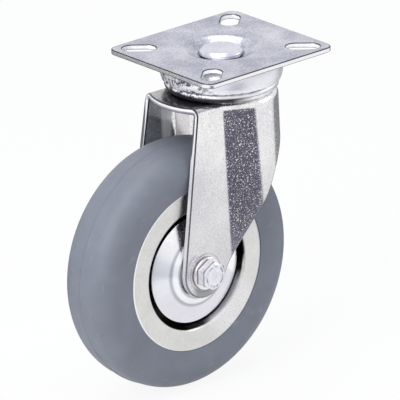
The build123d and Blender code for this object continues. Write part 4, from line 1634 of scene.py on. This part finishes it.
# ---- wheel ---------------------------------------------------------------------------------
@dataclass
class Wheel:
    """Solid tyre on a rim of two pressed discs."""

    wheel_r: float = 62.38
    tread_crown: float = 0.5
    tyre_half: float = 16.5
    shoulder_r: float = 11.0
    rim_gauge: float = 1.2
    rim_edge_r: float = 41.4
    rim_cut_r: float = 0.3
    rim_face: float = 15.4
    well_r: float = 30.6
    rim_bend_r: float = 0.7
    collar_r: float = 12.63
    collar: float = 8.0
    web: float = 0.615
    fit: float = 0.03
    lip_fit: float = 0.06
    lip_stand: float = 0.1
    mould_line: float = 0.12
    mould_line_half: float = 0.35
    mould_line_slope: float = 0.05
    side_points: int = 14
    shoulder_points: int = 15
    tread_points: tuple[float, ...] = (0.11, 0.09, 0.0715, 0.064, 0.0)
    tyre_steps: int = 256
    rim_steps: int = 224

    def tyre_half_profile(self) -> Array:
        """Outer face of the tyre from the rim's lip to the middle of the tread.

        The side eases out from the lip to the full half width, the shoulder is a quarter circle,
        and the tread swells to the middle as a cosine, with a fine ridge on the middle itself.

        Returns:
            Radius and distance from the middle plane, as an (n, 2) array.
        """
        flat = self.wheel_r - self.tread_crown
        side_r = flat - self.shoulder_r
        share = np.linspace(0, 1, self.side_points)
        side = np.column_stack([
            blend(self.rim_edge_r + self.lip_fit, side_r, share),
            blend(self.rim_face + self.lip_stand, self.tyre_half, smooth(share, -0.25, 1.0))])
        turn = np.linspace(0, QUARTER, self.shoulder_points)[1:]
        shoulder = np.column_stack([side_r + self.shoulder_r * np.sin(turn),
                                    self.tyre_half - self.shoulder_r * (1 - np.cos(turn))])
        edge = self.tyre_half - self.shoulder_r
        across = np.concatenate([np.linspace(1, 0.14, 7)[1:], self.tread_points])
        tread = np.column_stack([flat + self.tread_crown * (0.5 + 0.5 * np.cos(np.pi * across)),
                                 edge * across])
        ridge = 1 - smooth(tread[:, 1], self.mould_line_half,
                           self.mould_line_half + self.mould_line_slope)
        tread[:, 0] += self.mould_line * ridge
        return np.vstack([side, shoulder, tread])

    def tyre(self) -> Skin:
        """Tyre: its outer face both ways from the middle, and the base that fills the rim.

        Returns:
            The tyre.
        """
        base = self.well_r + self.rim_gauge + self.fit
        inside = self.rim_face - self.rim_gauge - self.fit
        lip_r = self.rim_edge_r + self.lip_fit
        foot = rounded([(base, 0), (base, inside), (lip_r, inside), (lip_r, self.rim_face)],
                       [0, self.rim_bend_r, 0, 0])
        foot = foot[np.lexsort((foot[:, 1] + foot[:, 0],))]
        near = np.vstack([foot, self.tyre_half_profile()])
        far = near[::-1] * (1, -1)
        return Skin.turned(np.vstack([near, far[1:-1]]), NEAR_AXLE, self.tyre_steps)

    def disc(self, spindle: Spindle) -> Skin:
        """Half of the rim: collar on the hub, web, deep well and flat flange, as one bent sheet.

        Args:
            spindle: Axis it lies on.

        Returns:
            The disc.
        """
        half = self.rim_gauge / 2
        well, face = self.well_r + half, self.rim_face - half
        line = [(self.collar_r, self.collar), (self.collar_r, self.web), (well, self.web),
                (well, face), (self.rim_edge_r, face)]
        outline = bent_sheet(line, self.rim_bend_r, self.rim_gauge, self.rim_cut_r, 8)
        return Skin.turned(outline, spindle, self.rim_steps)

    def build(self, finishes: FinishBook) -> None:
        """Makes tyre and rim.

        Args:
            finishes: The finishes.
        """
        finishes.piece("solid_tyre", self.tyre(), finishes.rubber, Body.WHEEL, "tyre")
        for side, spindle in (("near", NEAR_AXLE), ("far", FAR_AXLE)):
            finishes.piece(f"rim_half_{side}", self.disc(spindle), finishes.rim, Body.WHEEL,
                           f"rim_disc_{side}")


# ---- inner works ---------------------------------------------------------------------------
@dataclass
class InnerWorks:
    """Nodes of the frame that keep their own shape and get a finish."""

    balls: tuple[str, ...] = ("upper_balls", "lower_balls", "rollers")
    steel: tuple[str, ...] = ("axle_sleeve", "hub_tube", "bearing_ring_near", "bearing_ring_far")

    def build(self, finishes: FinishBook) -> None:
        """Dresses washer, races, balls, rollers, cage, sleeve, hub, rings, rivets and insert.

        Args:
            finishes: The finishes.
        """
        finishes.dress_node("kingpin_washer", finishes.pin)
        finishes.dress_node("lower_race_cup", finishes.race)
        for name in self.balls:
            finishes.dress_node(name, finishes.ball)
        finishes.dress_node("roller_cage", finishes.cage)
        for name in self.steel:
            finishes.dress_node(name, finishes.inner)
        finishes.dress_node("rim_rivets", finishes.rim)
        finishes.dress_node("axle_nut_insert", finishes.nylon)


# ---- studio --------------------------------------------------------------------------------
@dataclass(frozen=True)
class Softbox:
    """One area lamp: where it stands, its size and its power."""

    name: str
    place: Triple
    size: Pair
    watts: float


@dataclass(frozen=True)
class Shade:
    """Card on the floor: a sector between two bearings, in degrees from +X, and two distances."""

    name: str
    centre: Pair
    bearings: Pair
    reach: Pair
    colour: Triple


@dataclass
class Studio:
    """Pale floor, white surroundings, soft lamps and the camera. Lengths here are in metres."""

    floor_z: float = -0.1658
    floor_size: float = 8.0
    floor_colour: Triple = (0.85, 0.85, 0.85)
    floor_glow: float = 0.9
    sheet_cloud_mm: float = 300.0
    sheet_cloud_shade: float = 0.97
    sheet_rough: float = 0.9
    white: Triple = (1.0, 1.0, 1.0)
    surround: Triple = (0.45, 0.49, 0.54)
    aim: Triple = (-0.014852, 0.000225, -0.075489)
    azimuth: float = -41.24
    elevation: float = 20.97
    roll: float = -0.92
    distance: float = 3.29407
    lens_mm: float = 608.6
    sensor_mm: float = 36.0
    clip: Pair = (0.05, 50.0)
    lamps: tuple[Softbox, ...] = (
        Softbox("lamp_left", (-1.3, -0.3, 0.8), (0.9, 0.9), 13.2),
        Softbox("lamp_right", (1.1, -0.5, 0.6), (0.6, 0.6), 3.0),
        Softbox("lamp_top", (-0.15, 0.15, 1.4), (1.7, 1.05), 9.8),
    )
    shades: tuple[Shade, ...] = (
        Shade("front_card_rim", (-0.005, -0.025), (-128.0, -85.0), (0.156, 0.75),
              (0.33, 0.32, 0.37)),
        Shade("front_card", (-0.005, -0.025), (-127.5, -92.5), (0.156, 0.64),
              (0.068, 0.064, 0.094)),
        Shade("back_card", (0.0, 0.0), (-8.0, 142.0), (0.12, 2.0), (0.23, 0.225, 0.23)),
    )

    def ray_share(self, tree: bpy.types.NodeTree, kinds: tuple[str, ...]) -> Socket:
        """1 for a ray of any of the kinds, and 0 for the rest: the most of their flags.

        Args:
            tree: Node tree that it is for.
            kinds: Names of the light path's flags.

        Returns:
            The share.
        """
        path = tree.nodes.new("ShaderNodeLightPath")
        share = path.outputs[kinds[0]]
        for kind in kinds[1:]:
            most = tree.nodes.new("ShaderNodeMath")
            most.operation = "MAXIMUM"
            tree.links.new(share, most.inputs[0])
            tree.links.new(path.outputs[kind], most.inputs[1])
            share = most.outputs[0]
        return share

    def world(self) -> None:
        """White to the camera and in reflections, and a plain level of light elsewhere."""
        world = bpy.data.worlds.new("studio")
        world.use_nodes = True
        tree = world.node_tree
        tree.nodes.clear()
        output = tree.nodes.new("ShaderNodeOutputWorld")
        kinds = ("Is Camera Ray", "Is Glossy Ray", "Is Transmission Ray")
        colour = tree.nodes.new("ShaderNodeMix")
        colour.data_type = "RGBA"
        tree.links.new(self.ray_share(tree, kinds), colour.inputs["Factor"])
        colour.inputs[6].default_value = (*self.surround, 1.0)
        colour.inputs[7].default_value = (*self.white, 1.0)
        background = tree.nodes.new("ShaderNodeBackground")
        tree.links.new(colour.outputs[2], background.inputs["Color"])
        tree.links.new(background.outputs[0], output.inputs["Surface"])
        bpy.context.scene.world = world

    def level_sheet(self, name: str, corners: Array, z: float,
                    colour: Triple) -> tuple[bpy.types.Object, Recipe]:
        """Level sheet of the studio, in one clouded colour.

        Args:
            name: Name of the sheet.
            corners: Its outline, as an (n, 2) array.
            z: Its height.
            colour: Its colour.

        Returns:
            The sheet and its recipe.
        """
        mesh = bpy.data.meshes.new(name)
        points = np.column_stack([corners, np.full(len(corners), z)])
        mesh.from_pydata(points.tolist(), [], [tuple(range(len(points)))])
        sheet = bpy.data.objects.new(name, mesh)
        bpy.context.scene.collection.objects.link(sheet)
        recipe = Recipe(name)
        cloud = recipe.noise(self.sheet_cloud_mm)
        shaded = tuple(self.sheet_cloud_shade * channel for channel in colour)
        recipe.set(base_color=recipe.mixed(cloud, colour, shaded), roughness=self.sheet_rough)
        mesh.materials.append(recipe.material)
        return sheet, recipe

    def floor(self) -> None:
        """Pale floor, nearly white where the camera sees it, with a faint shadow."""
        half = self.floor_size / 2
        corners = np.array([(-half, -half), (half, -half), (half, half), (-half, half)])
        _sheet, recipe = self.level_sheet("floor", corners, self.floor_z, self.floor_colour)
        share = self.ray_share(recipe.tree, ("Is Camera Ray", "Is Glossy Ray"))
        glow = recipe.node("ShaderNodeEmission", {"Color": (*self.white, 1.0), "Strength": 1.0})
        mix = recipe.node("ShaderNodeMixShader", {
            0: recipe.times(share, self.floor_glow), 1: recipe.shader.outputs[0],
            2: glow.outputs[0]})
        recipe.fill(recipe.output.inputs["Surface"], mix.outputs[0])

    def shade(self, card: Shade, level: int) -> None:
        """Lays a dark card that only reflections see.

        Args:
            card: The card.
            level: How many millimetres above the floor it lies.
        """
        turn = np.radians(np.linspace(*card.bearings, 9))
        ray = np.column_stack([np.cos(turn), np.sin(turn)])
        near, far = card.reach
        corners = np.array(card.centre) + np.vstack([ray * near, ray[::-1] * far])
        z = self.floor_z + level * MM
        sheet, _recipe = self.level_sheet(card.name, corners, z, card.colour)
        sheet.visible_camera = False
        sheet.visible_diffuse = False
        sheet.visible_shadow = False

    def light(self) -> None:
        """Area lamps that face the castor's middle."""
        for box in self.lamps:
            data = bpy.data.lights.new(box.name, "AREA")
            data.shape = "RECTANGLE"
            data.size, data.size_y = box.size
            data.energy = box.watts
            lamp = bpy.data.objects.new(box.name, data)
            bpy.context.scene.collection.objects.link(lamp)
            ahead = Vector(self.aim) - Vector(box.place)
            lamp.location = box.place
            lamp.rotation_euler = ahead.to_track_quat("-Z", "Y").to_euler()

    def camera(self) -> None:
        """Camera on the ray given by azimuth and elevation, turned about it by the roll."""
        azimuth, elevation, roll = np.radians([self.azimuth, self.elevation, self.roll])
        back = Vector((np.sin(azimuth) * np.cos(elevation), -np.cos(azimuth) * np.cos(elevation),
                       np.sin(elevation)))
        level = Vector((np.cos(azimuth), np.sin(azimuth), 0))
        right = level * np.cos(roll) + back.cross(level) * np.sin(roll)
        up = back.cross(right)
        data = bpy.data.cameras.new("camera")
        data.lens = self.lens_mm
        data.sensor_width = self.sensor_mm
        data.clip_start, data.clip_end = self.clip
        camera = bpy.data.objects.new("camera", data)
        bpy.context.scene.collection.objects.link(camera)
        turned = Matrix((right, up, back)).transposed().to_4x4()
        turned.translation = Vector(self.aim) + back * self.distance
        camera.matrix_world = turned
        bpy.context.scene.camera = camera

    def build(self) -> None:
        """Sets up world, floor, cards, lamps and camera."""
        self.world()
        self.floor()
        for level, card in enumerate(self.shades, 1):
            self.shade(card, level)
        self.light()
        self.camera()
        bpy.context.scene.view_settings.view_transform = "Standard"


def main() -> None:
    """Builds the castor's sub-assemblies in order, then the studio."""
    logging.basicConfig(level=logging.INFO, format="%(name)s: %(message)s")
    finishes = FinishBook()
    for assembly in (TopPlate(), SwivelHead(), Fork(), Axle(), ThreadGuards(), Wheel(),
                     InnerWorks()):
        assembly.build(finishes)
    Studio().build()


if __name__ == "__main__":
    main()
